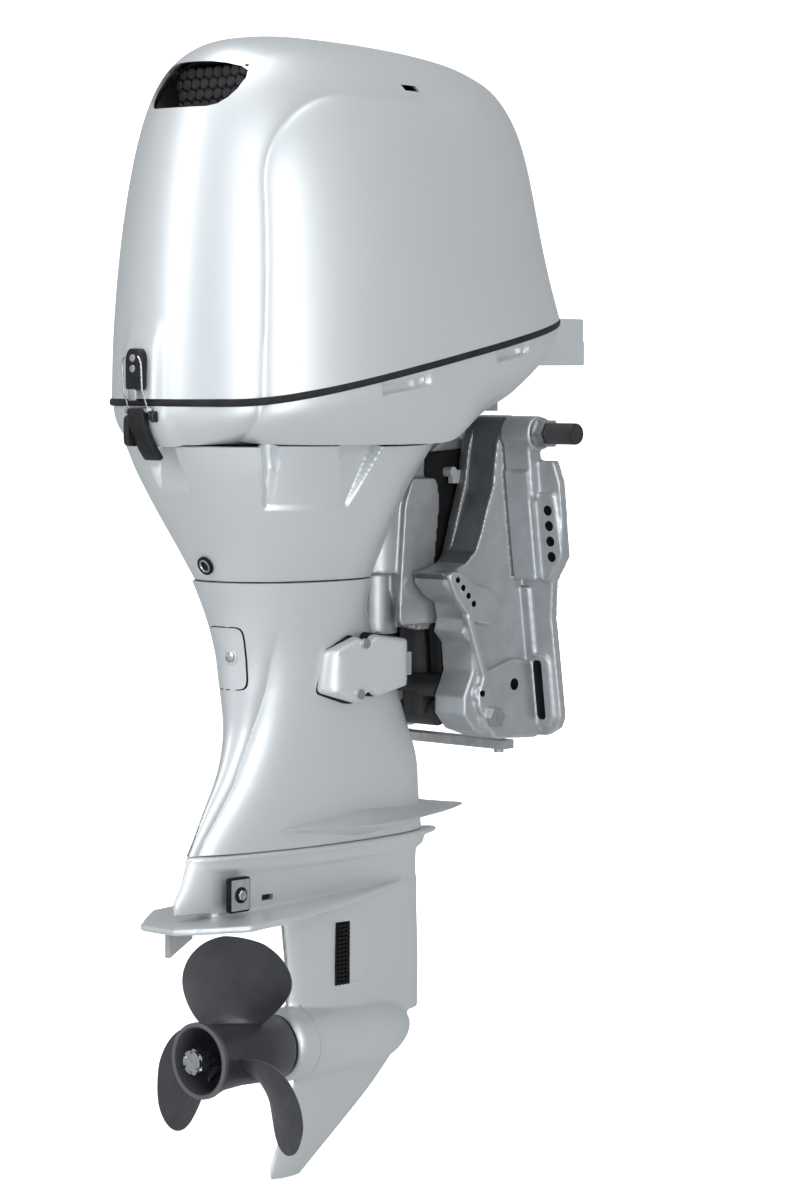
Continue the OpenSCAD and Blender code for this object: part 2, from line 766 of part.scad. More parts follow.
// Drive shaft with the pinion cut on its foot
module drive_shaft() {
    color("silver") translate([drive_x, 0, 0]) {
        translate([0, 0, prop_z + gear_r + 8]) cylinder(r = shaft_r, h = 29.5 - prop_z - gear_r - 8);
        translate([0, 0, prop_z]) {
            bevel_body(pinion_r, gear_r, 2.2);
            bevel_teeth(pinion_teeth, pinion_r, gear_r);
        }
    }
}

// Driven bevel gear with a recess for the clutch dog
module driven_gear() {
    rotate([0, 90, 0]) difference() {
        union() {
            bevel_body(gear_r, pinion_r, 2.2);
            bevel_teeth(gear_teeth, gear_r, pinion_r);
            translate([0, 0, pinion_r + 8]) cylinder(r = 20, h = 12);
        }
        translate([0, 0, -1]) cylinder(r = 12 + fit, h = 60);
        translate([0, 0, -1]) cylinder(r = 16.5, h = 13);
    }
}

module forward_gear() {
    color("gray") translate([drive_x, 0, prop_z]) driven_gear();
}

module reverse_gear() {
    color("gray") translate([drive_x, 0, prop_z]) mirror([1, 0, 0]) driven_gear();
}

// Dog that slides on the propeller shaft between the gears
module clutch_dog() {
    color("silver") translate([drive_x, 0, prop_z]) difference() {
        union() {
            translate([-6.5, 0, 0]) along_x() cylinder(r = 15.5, h = 13);
            for (s = [0, 1], i = [0 : 2]) mirror([s, 0, 0]) rotate([120 * i, 0, 0])
                translate([6, 0, 13]) along_x() cylinder(r = 1.8, h = 2);
        }
        translate([-10, 0, 0]) along_x() cylinder(r = 11.9 + fit, h = 20);
    }
}

module prop_shaft() {
    color("silver") translate([0, 0, prop_z]) {
        translate([-296, 0, 0]) along_x() cylinder(r = 11.9, h = 296 - 118);
        translate([-432, 0, 0]) along_x() cylinder(r = 10, h = 137);
        translate([-302, 0, 0]) along_x() cylinder(r = 17, h = 6);
    }
}

// ---------- propeller ----------

// Point on a blade at radius r, chord place s from -1 to 1, on the face or the back
function blade_point(r, s, side) =
    let (reach = 37 * pow(max(0.02, 1 - pow(abs(r - 78) / (prop_d / 2 - 76), 2.3)), 0.5),
        turn = reach * s + 0.1 * (r - 70),
        thick = (0.8 + 3.6 * (prop_d / 2 - r) / 110) * (1 - s * s) + 0.7,
        x = -359 + prop_pitch / 360 * turn - 0.12 * (r - 40) + side * thick)
    [x, -r * sin(turn), r * cos(turn)];

module blade() {
    radii = [30, 45, 65, 85, 105, 120, 132, prop_d / 2];
    chord = [-1, -0.8, -0.5, -0.17, 0.17, 0.5, 0.8, 1];
    skin([for (r = radii) concat([for (s = chord) blade_point(r, s, -1)],
        [for (i = [7 : -1 : 0]) blade_point(r, chord[i], 1)])]);
}

module propeller() {
    color("dimgray") translate([0, 0, prop_z]) {
        rotate([0, 90, 0]) rotate_extrude() polygon([[24, hub_aft], [45, hub_aft], [39, hub_aft + 26],
            [37, -360], [40, hub_fore], [34, hub_fore], [33, -350], [24, -360]]);
        rotate([0, 90, 0]) translate([0, 0, hub_fore - 66]) {
            rotate_extrude() translate([11.3, 0]) square([14, 44]);
            for (i = [0 : 2]) rotate(60 + 120 * i) translate([23, -3, 0]) cube([14, 6, 44]);
        }
        for (i = [0 : blade_count - 1]) rotate([360 / blade_count * i, 0, 0]) blade();
    }
}

module castle_nut() {
    color("silver") translate([-432, 0, prop_z]) along_x() difference() {
        union() {
            translate([0, 0, 4]) cylinder(r = 16, h = 12, $fn = 6);
            cylinder(r = 14, h = 6);
        }
        translate([0, 0, -1]) cylinder(r = 10.02, h = 30);
        for (i = [0 : 2]) rotate(60 * i) translate([-20, -2, -1]) cube([40, 4, 5]);
    }
}

// ---------- transom bracket ----------

// Outline of a stern bracket's web, X across and Z up
web_points = concat(
    [for (i = [0 : 8]) ear_r * [cos(22.5 * i), sin(22.5 * i)]],
    [[-28, -37], [-31, -65], [-42, -92], [-52, -121], [-62, -143], [-80, -158], [-104, -166], [-120, -168],
    [-118, -182], [-104, -196], [-84, -206], [-79, -226], [-84, -241], [-70, -256], [-66, -290],
    [-81, -320], [-81, -341], [-62, -362], [-24, -374], [54, -378], [12, -29]]);

// Outline of the bracket's flange on the transom, Y across and slope distance up
flange_points = [[-52, -36], [-174, -34], [-181, -60], [-180, -152], [-157, -184], [-150, -230], [-152, -352],
    [-145, -368], [-126, -378], [-52, -378]];

module stern_bracket() {
    difference() {
        union() {
            side_plate(-bracket_out, -bracket_out + 9) polygon(web_points);
            // rim along the aft edge, from the inner face to the web
            side_plate(-bracket_out + 1, -bracket_in) difference() {
                polygon(web_points);
                offset(delta = -7) polygon(web_points);
                translate([-20, -420]) square([120, 400]);
            }
            // bearing ear and boss for the tilt tube
            translate([0, -ear_out, 0]) along_y() cylinder(r = ear_r - 1, h = ear_out - bracket_in);
            on_transom() translate([transom_face - flange_t, 0, 0]) rotate([0, 90, 0])
                rotate(90) linear_extrude(flange_t) polygon([for (p = flange_points) [p[0], p[1]]]);
            // pod beside the bolt holes
            on_transom() translate([-20, -146, -178]) cube([24, 40, 134]);
            // raised bar with the trim holes
            side_plate(-bracket_out - 6, -bracket_out + 1) polygon([[-119, -170], [-102, -167], [-60, -208],
                [-76, -222]]);
            for (p = [[-58, -316, 10], [ram_foot[0], ram_foot[1], 17], [-6, -308, 14]])
                translate([p[0], -bracket_out - 6, p[1]]) along_y() cylinder(r = p[2], h = 12);
            translate([ram_foot[0], -bracket_out, ram_foot[1]])
                along_y() cylinder(r = 15, h = bracket_out - bracket_in);
        }
        translate([0, -ear_out - 1, 0]) along_y() cylinder(r = tilt_tube_r + 0.02, h = 120);
        for (i = [0 : 3]) on_transom() translate([-20, -bolt_span_top / 2, -92.7 - bolt_pitch * i])
            along_x() cylinder(d = bolt_hole_d, h = 60);
        on_transom() for (z = [-286, -348]) translate([-30, -bolt_span_low / 2, z])
            along_x() cylinder(d = bolt_hole_d, h = 60);
        on_transom() translate([-30, -bolt_span_low / 2 - bolt_hole_d / 2, -348]) cube([60, bolt_hole_d, 62]);
        for (i = [0 : 3]) translate([-103 + 9.6 * i, -130, -176 - 10 * i]) along_y() cylinder(r = 4, h = 40);
        translate([-58, -130, -316]) along_y() cylinder(r = 4, h = 40);
        translate([-6, -130, -308]) along_y() cylinder(r = 8, h = 40);
        translate([ram_foot[0], -130, ram_foot[1]]) along_y() cylinder(r = 8.02, h = 90);
    }
}

module stern_bracket_starboard() {
    color("silver") stern_bracket();
}

module stern_bracket_port() {
    color("silver") mirror([0, 1, 0]) stern_bracket();
}

module tilt_tube() {
    color("gray") translate([0, -tilt_tube_half, 0])
        along_y() tube(tilt_tube_r, tilt_bore_d / 2, 0, 2 * tilt_tube_half);
}

module tilt_tube_nuts() {
    color("silver") both_sides() translate([0, -ear_out - 17, 0]) along_y() difference() {
        union() {
            cylinder(r = 18.5, h = 13, $fn = 6);
            translate([0, 0, 13]) cylinder(r = 19, h = 3);
        }
        translate([0, 0, -1]) cylinder(r = tilt_tube_r + 0.02, h = 30);
    }
}

module tilt_tube_cap() {
    color("black") translate([0, -214, 0]) along_y() difference() {
        union() {
            cylinder(r1 = 12, r2 = 13, h = 2);
            translate([0, 0, 2]) cylinder(r = 13, h = 39.5);
        }
        translate([0, 0, 214 - tilt_tube_half - 0.2]) cylinder(r = tilt_tube_r + 0.02, h = 30);
    }
}

module bracket_anode() {
    color("gray") {
        translate([4, -92, -391]) cube([24, 184, 11]);
        both_sides() translate([16, -78, -396]) cylinder(r = 6, h = 17.4);
    }
}

module lower_cross_bolt() {
    color("gray") translate([ram_foot[0], 0, ram_foot[1]]) {
        translate([0, -122, 0]) along_y() cylinder(r = 8, h = 244);
        both_sides() translate([0, -125, 0]) along_y() cylinder(r = 13, h = 10.8, $fn = 6);
    }
}

// ---------- swivel bracket ----------

module swivel_bracket() {
    color("silver") difference() {
        union() {
            translate([0, -56, 0]) along_y() cylinder(r = barrel_r, h = 112);
            translate([steer_x, 0, swivel_low]) cylinder(r = 30, h = swivel_high - swivel_low);
            translate([steer_x, 0, -170]) cylinder(r = 44, h = 100);
            for (s = [-1, 1]) translate([0, s * 34, 0]) side_plate(-6, 6)
                polygon([[14, -4], [-10, 14], [-55, -14], [-90, -36], [-130, -60], [-130, -190], [-116, -236],
                    [-96, -240], [-88, -226], [-96, -200], [-100, -120], [-84, -84], [-40, -56], [-8, -20]]);
            side_plate(-30, 30) polygon([[-10, -2], [-40, -18], [-90, -44], [-110, -60], [-110, -76],
                [-88, -62], [-38, -30]]);
            // pads that rest on the lock when the leg is down
            for (s = [-1, 1]) translate([-98, s * 38 - 9, -240]) cube([20, 18, 22]);
        }
        translate([0, -60, 0]) along_y() cylinder(r = tilt_tube_r + 3, h = 120);
        translate([steer_x, 0, -300]) cylinder(r = swivel_r + 3, h = 320);
        for (s = [-1, 1]) translate([ram_head[0], s * 34 - 7, ram_head[1]]) along_y() cylinder(r = 7, h = 14);
    }
}

module tilt_bushes() {
    color("black") both_sides() translate([0, -56, 0]) along_y()
        tube(tilt_tube_r + 2.98, tilt_tube_r + fit, 0, 50);
}

module swivel_bushes() {
    color("black") translate([steer_x, 0, 0]) for (z = [swivel_low, swivel_high - 40])
        tube(swivel_r + 2.98, swivel_r + fit, z, z + 40);
}

// Stub pins that stand each side of the ram's upper eye
module ram_pins() {
    color("gray") both_sides() translate([ram_head[0], -41, ram_head[1]]) along_y() cylinder(r = 6.98, h = 26);
}

// Lever that props the leg up, folded down here
module tilt_lock_lever() {
    color("gray") {
        translate([-46, -56, -48]) along_y() cylinder(r = 6, h = 15.4);
        translate([-48, -56, -62]) cube([44, 7, 16]);
    }
}

module tilt_cylinder() {
    reach = norm(ram_head - ram_foot);
    color("dimgray") ram_frame() difference() {
        union() {
            rotate([90, 0, 0]) translate([0, 0, -26]) cylinder(r = 17, h = 52);
            cylinder(r = 24, h = 196);
            translate([0, 0, 196]) cylinder(r = 22, h = 8);
        }
        rotate([90, 0, 0]) translate([0, 0, -40]) cylinder(r = 8 + fit, h = 80);
        translate([0, 0, 22]) cylinder(r = ram_bore_r + fit, h = 172);
        translate([0, 0, 100]) cylinder(r = ram_rod_r + fit, h = reach);
    }
}

// Frame at the ram's foot with +Z towards its upper eye
module ram_frame() {
    lean = atan2(ram_head[0] - ram_foot[0], ram_head[1] - ram_foot[1]);
    translate([ram_foot[0], 0, ram_foot[1]]) rotate([0, lean, 0]) children();
}

// Pump motor to starboard and fluid reservoir to port, joined behind the cylinder
module pump_unit() {
    color("dimgray") ram_frame() {
        translate([-4, -39, 50]) cylinder(r = 13.5, h = 84);
        translate([-4, -39, 134]) cylinder(r = 10, h = 6);
        translate([-34, -52, 26]) cube([44, 26, 26]);
        translate([-34, -27, 30]) cube([9.6, 54, 22]);
        translate([-34, 25, 26]) cube([50, 27, 26]);
        translate([-20, 25, 50]) cube([36, 27, 78]);
        translate([-4, 38, 127]) cylinder(r = 8, h = 9);
    }
}

module tilt_rod() {
    reach = norm(ram_head - ram_foot);
    color("silver") ram_frame() {
        translate([0, 0, 60]) cylinder(r = ram_rod_r, h = reach - 60 - 12);
        translate([0, 0, 36]) cylinder(r = ram_bore_r, h = 26);
        difference() {
            translate([0, 14, reach]) rotate([90, 0, 0]) cylinder(r = 14, h = 28);
            translate([0, 20, reach]) rotate([90, 0, 0]) cylinder(r = 7.2, h = 40);
        }
    }
}

// ---------- what is drawn ----------

stern_bracket_starboard();
stern_bracket_port();
tilt_tube();
tilt_tube_nuts();
tilt_tube_cap();
bracket_anode();
lower_cross_bolt();
swivel_bracket();
tilt_bushes();
swivel_bushes();
ram_pins();
tilt_lock_lever();
tilt_cylinder();
pump_unit();
tilt_rod();
swivel_shaft();
lower_yoke();
mount_rubbers();
mount_cover_starboard();
mount_cover_port();
mount_cover_bolts();
upper_case();
extension_case();
access_panel();
panel_screw();
flush_plug();
lower_pan();
front_cover();
rigging_grommet();
cowl_seal();
engine_block();
cylinder_head();
head_cover();
intake_manifold();
starter_motor();
oil_filter();
control_unit();
timing_belt();
exhaust_tube();
water_pump_housing();
gearcase();
water_screens();
trim_tab();
gearcase_anode();
bearing_carrier();
engine_cover();
intake_duct();
latch_striker();
latch_lever();
crankshaft();
flywheel();
drive_shaft();
pump_impeller();
camshaft();
forward_gear();
reverse_gear();
clutch_dog();
prop_shaft();
propeller();
castle_nut();
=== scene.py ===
"""Looks of the outboard motor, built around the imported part.

Lengths in the shape functions are millimetres and become metres in add().
+X is forward, +Y is port, +Z is up, with the origin at the centre of the tilt tube.
"""

import math

import bpy
import numpy as np
from mathutils import Matrix, Vector


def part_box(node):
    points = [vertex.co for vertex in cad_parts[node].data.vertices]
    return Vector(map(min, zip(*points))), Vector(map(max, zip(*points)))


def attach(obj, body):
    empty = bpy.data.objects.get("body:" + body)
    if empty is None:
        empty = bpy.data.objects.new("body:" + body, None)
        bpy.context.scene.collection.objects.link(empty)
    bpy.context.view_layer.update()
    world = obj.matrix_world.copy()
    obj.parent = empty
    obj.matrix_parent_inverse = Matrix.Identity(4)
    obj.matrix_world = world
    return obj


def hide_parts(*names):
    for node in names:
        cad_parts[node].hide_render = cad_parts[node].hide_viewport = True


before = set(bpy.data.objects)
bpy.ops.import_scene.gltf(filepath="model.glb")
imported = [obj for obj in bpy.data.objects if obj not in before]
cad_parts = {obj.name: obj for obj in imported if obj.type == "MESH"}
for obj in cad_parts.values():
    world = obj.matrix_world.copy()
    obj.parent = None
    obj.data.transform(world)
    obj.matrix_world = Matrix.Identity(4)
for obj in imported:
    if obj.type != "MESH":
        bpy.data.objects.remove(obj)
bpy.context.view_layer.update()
MM = 0.001
HALF_WIDTH = 187.5
PROP_Z = -732.0
SHAFT = (0, 0, PROP_Z)
TAU = 2 * math.pi


# ---------- materials ----------

def finish(name, dark, light, metallic, rough, spots, grain, bump, coat=0.0, wear=None, vary=0.15):
    """Mottled colour, uneven gloss and a fine bump; worn edges take the wear colour."""
    material = bpy.data.materials.new(name)
    material.use_nodes = True
    nodes, links = material.node_tree.nodes, material.node_tree.links
    shader = nodes["Principled BSDF"]
    shader.inputs["Metallic"].default_value = metallic
    shader.inputs["Coat Weight"].default_value = coat
    shader.inputs["Coat Roughness"].default_value = 0.22
    shader.inputs["Specular IOR Level"].default_value = 0.5 if metallic else 0.2
    place = nodes.new("ShaderNodeTexCoord")

    def noise(scale, detail):
        """Noise over the piece's own coordinates."""
        node = nodes.new("ShaderNodeTexNoise")
        node.inputs["Scale"].default_value = scale
        node.inputs["Detail"].default_value = detail
        links.new(place.outputs["Object"], node.inputs["Vector"])
        return node.outputs["Fac"]

    def spread(value, low, high):
        """The middle of a noise value stretched over a range."""
        node = nodes.new("ShaderNodeMapRange")
        node.inputs["From Min"].default_value = 0.3
        node.inputs["From Max"].default_value = 0.7
        node.inputs["To Min"].default_value = low
        node.inputs["To Max"].default_value = high
        links.new(value, node.inputs["Value"])
        return node.outputs["Result"]

    def mix(factor, first, second):
        """A blend of two colours, each of them fixed or an output of another node."""
        node = nodes.new("ShaderNodeMix")
        node.data_type = "RGBA"
        links.new(factor, node.inputs["Factor"])
        for socket, colour in ((node.inputs[6], first), (node.inputs[7], second)):
            if isinstance(colour, tuple):
                socket.default_value = (*colour, 1)
            else:
                links.new(colour, socket)
        return node.outputs[2]

    colour = mix(spread(noise(spots, 6.0), 0.0, 1.0), dark, light)
    if wear:
        edges = nodes.new("ShaderNodeNewGeometry")
        fade = nodes.new("ShaderNodeValToRGB")
        fade.color_ramp.elements[0].position = 0.52
        fade.color_ramp.elements[1].position = 0.60
        links.new(edges.outputs["Pointiness"], fade.inputs["Fac"])
        colour = mix(fade.outputs["Color"], colour, wear)
    links.new(colour, shader.inputs["Base Color"])
    gloss = spread(noise(spots * 2.3, 2.0), rough * (1 - vary), rough * (1 + vary))
    links.new(gloss, shader.inputs["Roughness"])
    relief = nodes.new("ShaderNodeBump")
    relief.inputs["Strength"].default_value = bump
    relief.inputs["Distance"].default_value = 0.0006
    links.new(noise(grain, 3.0), relief.inputs["Height"])
    links.new(relief.outputs["Normal"], shader.inputs["Normal"])
    return material


LACQUER = finish("silver_lacquer", (0.55, 0.575, 0.59), (0.575, 0.60, 0.615), metallic=0.60, rough=0.40,
                 spots=3, grain=2200, bump=0.02, coat=0.35, vary=0.04)
CASTING = finish("silver_casting", (0.34, 0.36, 0.375), (0.41, 0.43, 0.445), metallic=0.65, rough=0.34,
                 spots=40, grain=900, bump=0.04, coat=0.25, wear=(0.66, 0.68, 0.70))
# Painted shade: a dark casting colour for the faces of the castings that turn away from the lights
SHADE = finish("painted_shade_casting", (0.060, 0.063, 0.067), (0.085, 0.088, 0.092), metallic=0.3, rough=0.42,
               spots=40, grain=900, bump=0.10, coat=0.15, wear=(0.40, 0.41, 0.42))
PROP_PAINT = finish("propeller_paint", (0.030, 0.031, 0.036), (0.042, 0.043, 0.048), metallic=0.35,
                    rough=0.40, spots=30, grain=1600, bump=0.04, coat=0.25, wear=(0.16, 0.16, 0.17))
PLASTIC = finish("black_plastic", (0.007, 0.007, 0.008), (0.013, 0.013, 0.014), metallic=0.0, rough=0.42,
                 spots=80, grain=1800, bump=0.12, wear=(0.04, 0.04, 0.042))
RUBBER = finish("rubber", (0.010, 0.010, 0.011), (0.018, 0.018, 0.019), metallic=0.0, rough=0.62,
                spots=50, grain=2400, bump=0.20)
STEEL = finish("bare_steel", (0.52, 0.53, 0.54), (0.64, 0.65, 0.66), metallic=1.0, rough=0.24,
               spots=120, grain=3000, bump=0.05)
ZINC = finish("zinc", (0.42, 0.43, 0.44), (0.54, 0.55, 0.56), metallic=0.8, rough=0.52,
              spots=90, grain=700, bump=0.25)
ALUMINIUM = finish("cast_aluminium", (0.42, 0.42, 0.42), (0.52, 0.52, 0.52), metallic=0.9, rough=0.45,
                   spots=60, grain=600, bump=0.30)
# Near black: the colour of black parts, and also painted shade on hole walls, inside the swivel and on the
# drain slot's floor
HOLLOW = finish("deep_black", (0.004, 0.004, 0.004), (0.008, 0.008, 0.008), metallic=0.0, rough=0.7,
                spots=50, grain=900, bump=0.1)


# ---------- mesh building ----------

def smooth(low, high, value):
    """0 below low, 1 above high, and an even blend between."""
    t = np.clip((value - low) / (high - low), 0, 1)
    return t * t * (3 - 2 * t)


def spow(value, power):
    """A power that keeps the sign of the value."""
    return np.sign(value) * np.abs(value) ** power


def grid(points, around=True, ends=(False, False), loop=False):
    """Vertices and faces of a surface from rows x columns x 3 points."""
    rows, cols = points.shape[:2]
    verts = [tuple(p) for p in points.reshape(-1, 3)]
    faces = []
    for r in range(rows if loop else rows - 1):
        low, high = r * cols, (r + 1) % rows * cols
        for c in range(cols if around else cols - 1):
            d = (c + 1) % cols
            faces.append((low + c, low + d, high + d, high + c))
    for closed, row in zip(ends, (0, rows - 1)):
        if closed:
            verts.append(tuple(points[row].mean(0)))
            faces += [(row * cols + c, row * cols + (c + 1) % cols, len(verts) - 1) for c in range(cols)]
    return verts, faces


def lathe(profile, origin, axis, count=48, start=0.0, loop=False):
    """A turned solid from (distance along the axis, radius) pairs; a loop is hollow."""
    k = Vector(axis).normalized()
    i = k.orthogonal().normalized()
    j = k.cross(i)
    angles = start + np.arange(count) * TAU / count
    ring = np.outer(np.cos(angles), i) + np.outer(np.sin(angles), j)
    rings = [np.array(origin) + h * np.array(k) + r * ring for h, r in profile]
    return grid(np.array(rings), ends=(not loop, not loop), loop=loop)


def prism(outline, low, high, axis="y"):
    """An outline pulled straight between two places along an axis."""
    order = {"x": (2, 0, 1), "y": (0, 2, 1), "z": (0, 1, 2)}[axis]
    rings = []
    for level in (low, high):
        flat = [(u, v, level) for u, v in outline]
        rings.append([[p[order[0]], p[order[1]], p[order[2]]] for p in flat])
    count = len(outline)
    verts = [tuple(p) for ring in rings for p in ring]
    faces = [(i, (i + 1) % count, (i + 1) % count + count, i + count) for i in range(count)]
    return verts, faces + [tuple(range(count)), tuple(range(count, 2 * count))]


def rounded(corners, radius, steps=5):
    """The outline with every corner turned into a curve."""
    result = []
    count = len(corners)
    for n in range(count):
        before, here, after = (Vector(corners[(n + k) % count]) for k in (-1, 0, 1))
        first, last = (before - here), (after - here)
        reach = min(radius, first.length / 2.2, last.length / 2.2)
        first, last = here + first.normalized() * reach, here + last.normalized() * reach
        for s in range(steps + 1):
            t = s / steps
            result.append(tuple((1 - t) ** 2 * first + 2 * t * (1 - t) * here + t * t * last))
    return result


def block(low, high, radius=0.0):
    """A box between two corners, with its upright edges rounded."""
    corners = [(low[0], low[1]), (high[0], low[1]), (high[0], high[1]), (low[0], high[1])]
    return prism(rounded(corners, radius) if radius else corners, low[2], high[2], "z")


def tube(path, radius, count=12):
    """A round rod along a path of points."""
    path = [Vector(p) for p in path]
    rings = []
    for n, p in enumerate(path):
        k = (path[min(n + 1, len(path) - 1)] - path[max(n - 1, 0)]).normalized()
        i = k.cross(Vector((0.13, 0.21, 1.0))).normalized()
        j = k.cross(i)
        rings.append([p + radius * (math.cos(a) * i + math.sin(a) * j)
                      for a in (TAU * c / count for c in range(count))])
    return grid(np.array(rings), ends=(True, True))


def node_part(name):
    """The CAD node's own surface as a part to build on."""
    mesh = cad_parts[name].data
    verts = [tuple(v.co / MM) for v in mesh.vertices]
    return verts, [tuple(f.vertices) for f in mesh.polygons]


def mirrored(part):
    """The part's mirror image on the other side of the motor."""
    verts, faces = part
    return [(x, -y, z) for x, y, z in verts], [tuple(reversed(f)) for f in faces]


def both(*parts):
    """The parts and their mirror images."""
    return list(parts) + [mirrored(p) for p in parts]


def new_mesh(name, parts):
    """One object from all the parts, turned from millimetres into metres."""
    verts, faces = [], []
    for part_verts, part_faces in parts:
        base = len(verts)
        verts += part_verts
        faces += [tuple(base + i for i in f) for f in part_faces]
    mesh = bpy.data.meshes.new(name)
    mesh.from_pydata([Vector(v) * MM for v in verts], [], faces)
    obj = bpy.data.objects.new(name, mesh)
    bpy.context.scene.collection.objects.link(obj)
    bpy.ops.object.select_all(action="DESELECT")
    bpy.context.view_layer.objects.active = obj
    obj.select_set(True)
    bpy.ops.object.mode_set(mode="EDIT")
    bpy.ops.mesh.select_all(action="SELECT")
    bpy.ops.mesh.remove_doubles(threshold=0.00001)
    bpy.ops.mesh.normals_make_consistent(inside=False)
    bpy.ops.object.mode_set(mode="OBJECT")
    return obj


def modify(obj, kind, **settings):
    """Adds one modifier and applies it."""
    modifier = obj.modifiers.new(kind, kind)
    for key, value in settings.items():
        setattr(modifier, key, value)
    shaped = obj.evaluated_get(bpy.context.evaluated_depsgraph_get())
    mesh = bpy.data.meshes.new_from_object(shaped)
    obj.modifiers.clear()
    old, obj.data = obj.data, mesh
    bpy.data.meshes.remove(old)


def cut(obj, parts):
    """Takes the parts out of the piece."""
    for part in parts:
        tool = new_mesh("cutter", [part])
        modify(obj, "BOOLEAN", object=tool, operation="DIFFERENCE", solver="EXACT")
        bpy.data.objects.remove(tool)


def add(name, parts, material, body, nodes=(), bevel=0.0, melt=0.0, rounds=6, wall=0.0, cuts=(),
        sharp=38):
    """Makes one piece, rounds or thickens it, gives it a finish and puts it on its body."""
    obj = new_mesh(name, parts)
    if melt:
        modify(obj, "REMESH", mode="VOXEL", voxel_size=melt * MM)
        modify(obj, "SMOOTH", factor=0.5, iterations=rounds)
    if wall:
        modify(obj, "SOLIDIFY", thickness=wall * MM, offset=-1)
    cut(obj, cuts)
    if bevel:
        modify(obj, "BEVEL", width=bevel * MM, segments=3, angle_limit=math.radians(32))
    obj.data.shade_smooth()
    obj.data.set_sharp_from_angle(angle=math.radians(sharp))
    obj.data.materials.clear()
    obj.data.materials.append(material)
    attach(obj, body)
    if nodes:
        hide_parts(*nodes)
    return obj


def meets(obj, start, way):
    """Where a straight line from the start first meets the piece."""
    hit, place = obj.ray_cast(Vector(start) * MM, Vector(way).normalized())[:2]
    return np.array(place) / MM if hit else np.array(start, float)


def push(points, amount):
    """Moves surface points outwards, along the surface's own normals."""
    across = np.roll(points, -1, 1) - np.roll(points, 1, 1)
    along = np.gradient(points, axis=0)
    normal = np.cross(across, along)
    normal /= np.maximum(np.linalg.norm(normal, axis=2, keepdims=True), 1e-9)
    middle = points.reshape(-1, 3).mean(0)
    if ((points - middle) * normal).sum() < 0:
        normal = -normal
    return points + normal * amount[..., None]


# ---------- shapes shared by the cover, the seal and the pan ----------

def oval(turn, row):
    """A squared oval; row is middle, reach aft, reach forward, half width and the two exponents."""
    middle, aft, fore, half, n_aft, n_fore = row
    c, s = np.cos(turn), np.sin(turn)
    power = np.where(c > 0, 2 / n_fore, 2 / n_aft)
    return middle + spow(c, power) * np.where(c > 0, fore, aft), half * spow(s, power)


def plan(turn, fore, aft, side):
    """Outline of the cowling from above, scaled at its fore end, its aft end and its sides."""
    return oval(turn, (-170, 342 * aft, 298 * fore, HALF_WIDTH * side, 2.15, 2.3))


def seam_z(x):
    """Height of the seam between the cover and the pan."""
    reach = np.sqrt(np.maximum(0, x + 470) ** 2 + 3600) - 60
    return 36 + 0.25 * reach - 0.00009 * reach ** 2


def crown_z(x, y):
    """Height of the top of the cover."""
    u = x + 270
    return 466 - np.where(u > 0, 0.00012 * u ** 2 + 0.00000047 * u ** 3, 0.0006 * u ** 2) - 0.0042 * y ** 2


def ramp(u):
    """Level at zero, then softly bent into an even rise."""
    return (u + np.sqrt(u ** 2 + 400)) / 2


def keel_z(x):
    """Height of the pan's floor, which the upper case rises to."""
    return -12 + 0.85 * ramp(x + 147) - 0.56 * ramp(x + 102)


def around(count):
    """Even steps once round a circle, as one row."""
    return (np.arange(count) * TAU / count)[None, :]


def panel_edge(x, z):
    """Distance from the edge of the side panel; negative inside the panel."""
    radius, top = 110.0, 392.0
    left = -438 + 0.065 * (z - 42)
    qx, qz = left + radius - x, z - top + radius
    return np.hypot(np.maximum(qx, 0), np.maximum(qz, 0)) + np.minimum(np.maximum(qx, qz), 0) - radius


def crease(x, y, z):
    """Valley along the edge of the side panel, fading out towards the front."""
    edge = panel_edge(x, z)
    fade = smooth(-60, -180, x) * smooth(40, 90, np.abs(y))
    return -(5.0 * np.exp(-np.abs(edge) / 26) + 1.2 * np.exp(-np.abs(edge) / 5)) * fade


def cover_points():
    """The cover from the seam to the crown, with its creases, latch pad and side grooves."""
    turn = around(560)
    tilt = np.radians(np.concatenate([90 * (np.arange(112) / 112) ** 1.5, [89.2, 89.7, 89.93]]))[:, None]
    s, c = np.sin(tilt) ** (2 / 7), np.cos(tilt) ** (2 / 7)
    x, y = plan(turn, c * (1 - 0.38 * s + 0.17 * s ** 2), c * (1 - 0.15 * s ** 2 + 0.07 * s ** 8),
                c * (1 - 0.14 * s ** 1.5))
    low = seam_z(x) + 4
    z = low + (crown_z(x, y) - low) * s
    amount = crease(x, y, z)
    spine = (1 - smooth(58, 68, np.abs(y))) * smooth(-405, -345, x) * smooth(380, 420, z)
    amount -= 1.6 * spine
    pad = (1 - smooth(20, 36, np.abs(y))) * (1 - smooth(96, 108, z)) * smooth(-430, -470, x)
    amount += 5.0 * pad
    groove = np.exp(-((z - (404 - 0.12 * (x + 190))) / 3.0) ** 2)
    amount -= 1.6 * groove * smooth(-182, -170, x) * smooth(-90, -150, x) * (np.abs(y) > 60)
    return push(np.stack([x, y, z], 2), amount)


intake_outline = [(-60, 418), (-46, 422), (-30, 424), (0, 424.5), (20, 424), (34, 421), (44, 415),
                  (50, 405), (51, 392), (47, 380), (40, 373.5), (30, 370.5), (0, 370), (-25, 370),
                  (-48, 370.5), (-58, 373.5), (-65, 381), (-69, 391), (-70, 404), (-67, 413)]
vent_outline = [(-201, 409), (-197, 402), (-172, 402), (-176, 409)]
openings = [prism(intake_outline, -560, -370, "x"), prism(vent_outline, -150, -96),
            prism(vent_outline, 96, 150)]
cover = add("cover_shell", [grid(cover_points(), ends=(False, True))], LACQUER, "lid", ["engine_cover"],
            wall=3.5, cuts=openings)


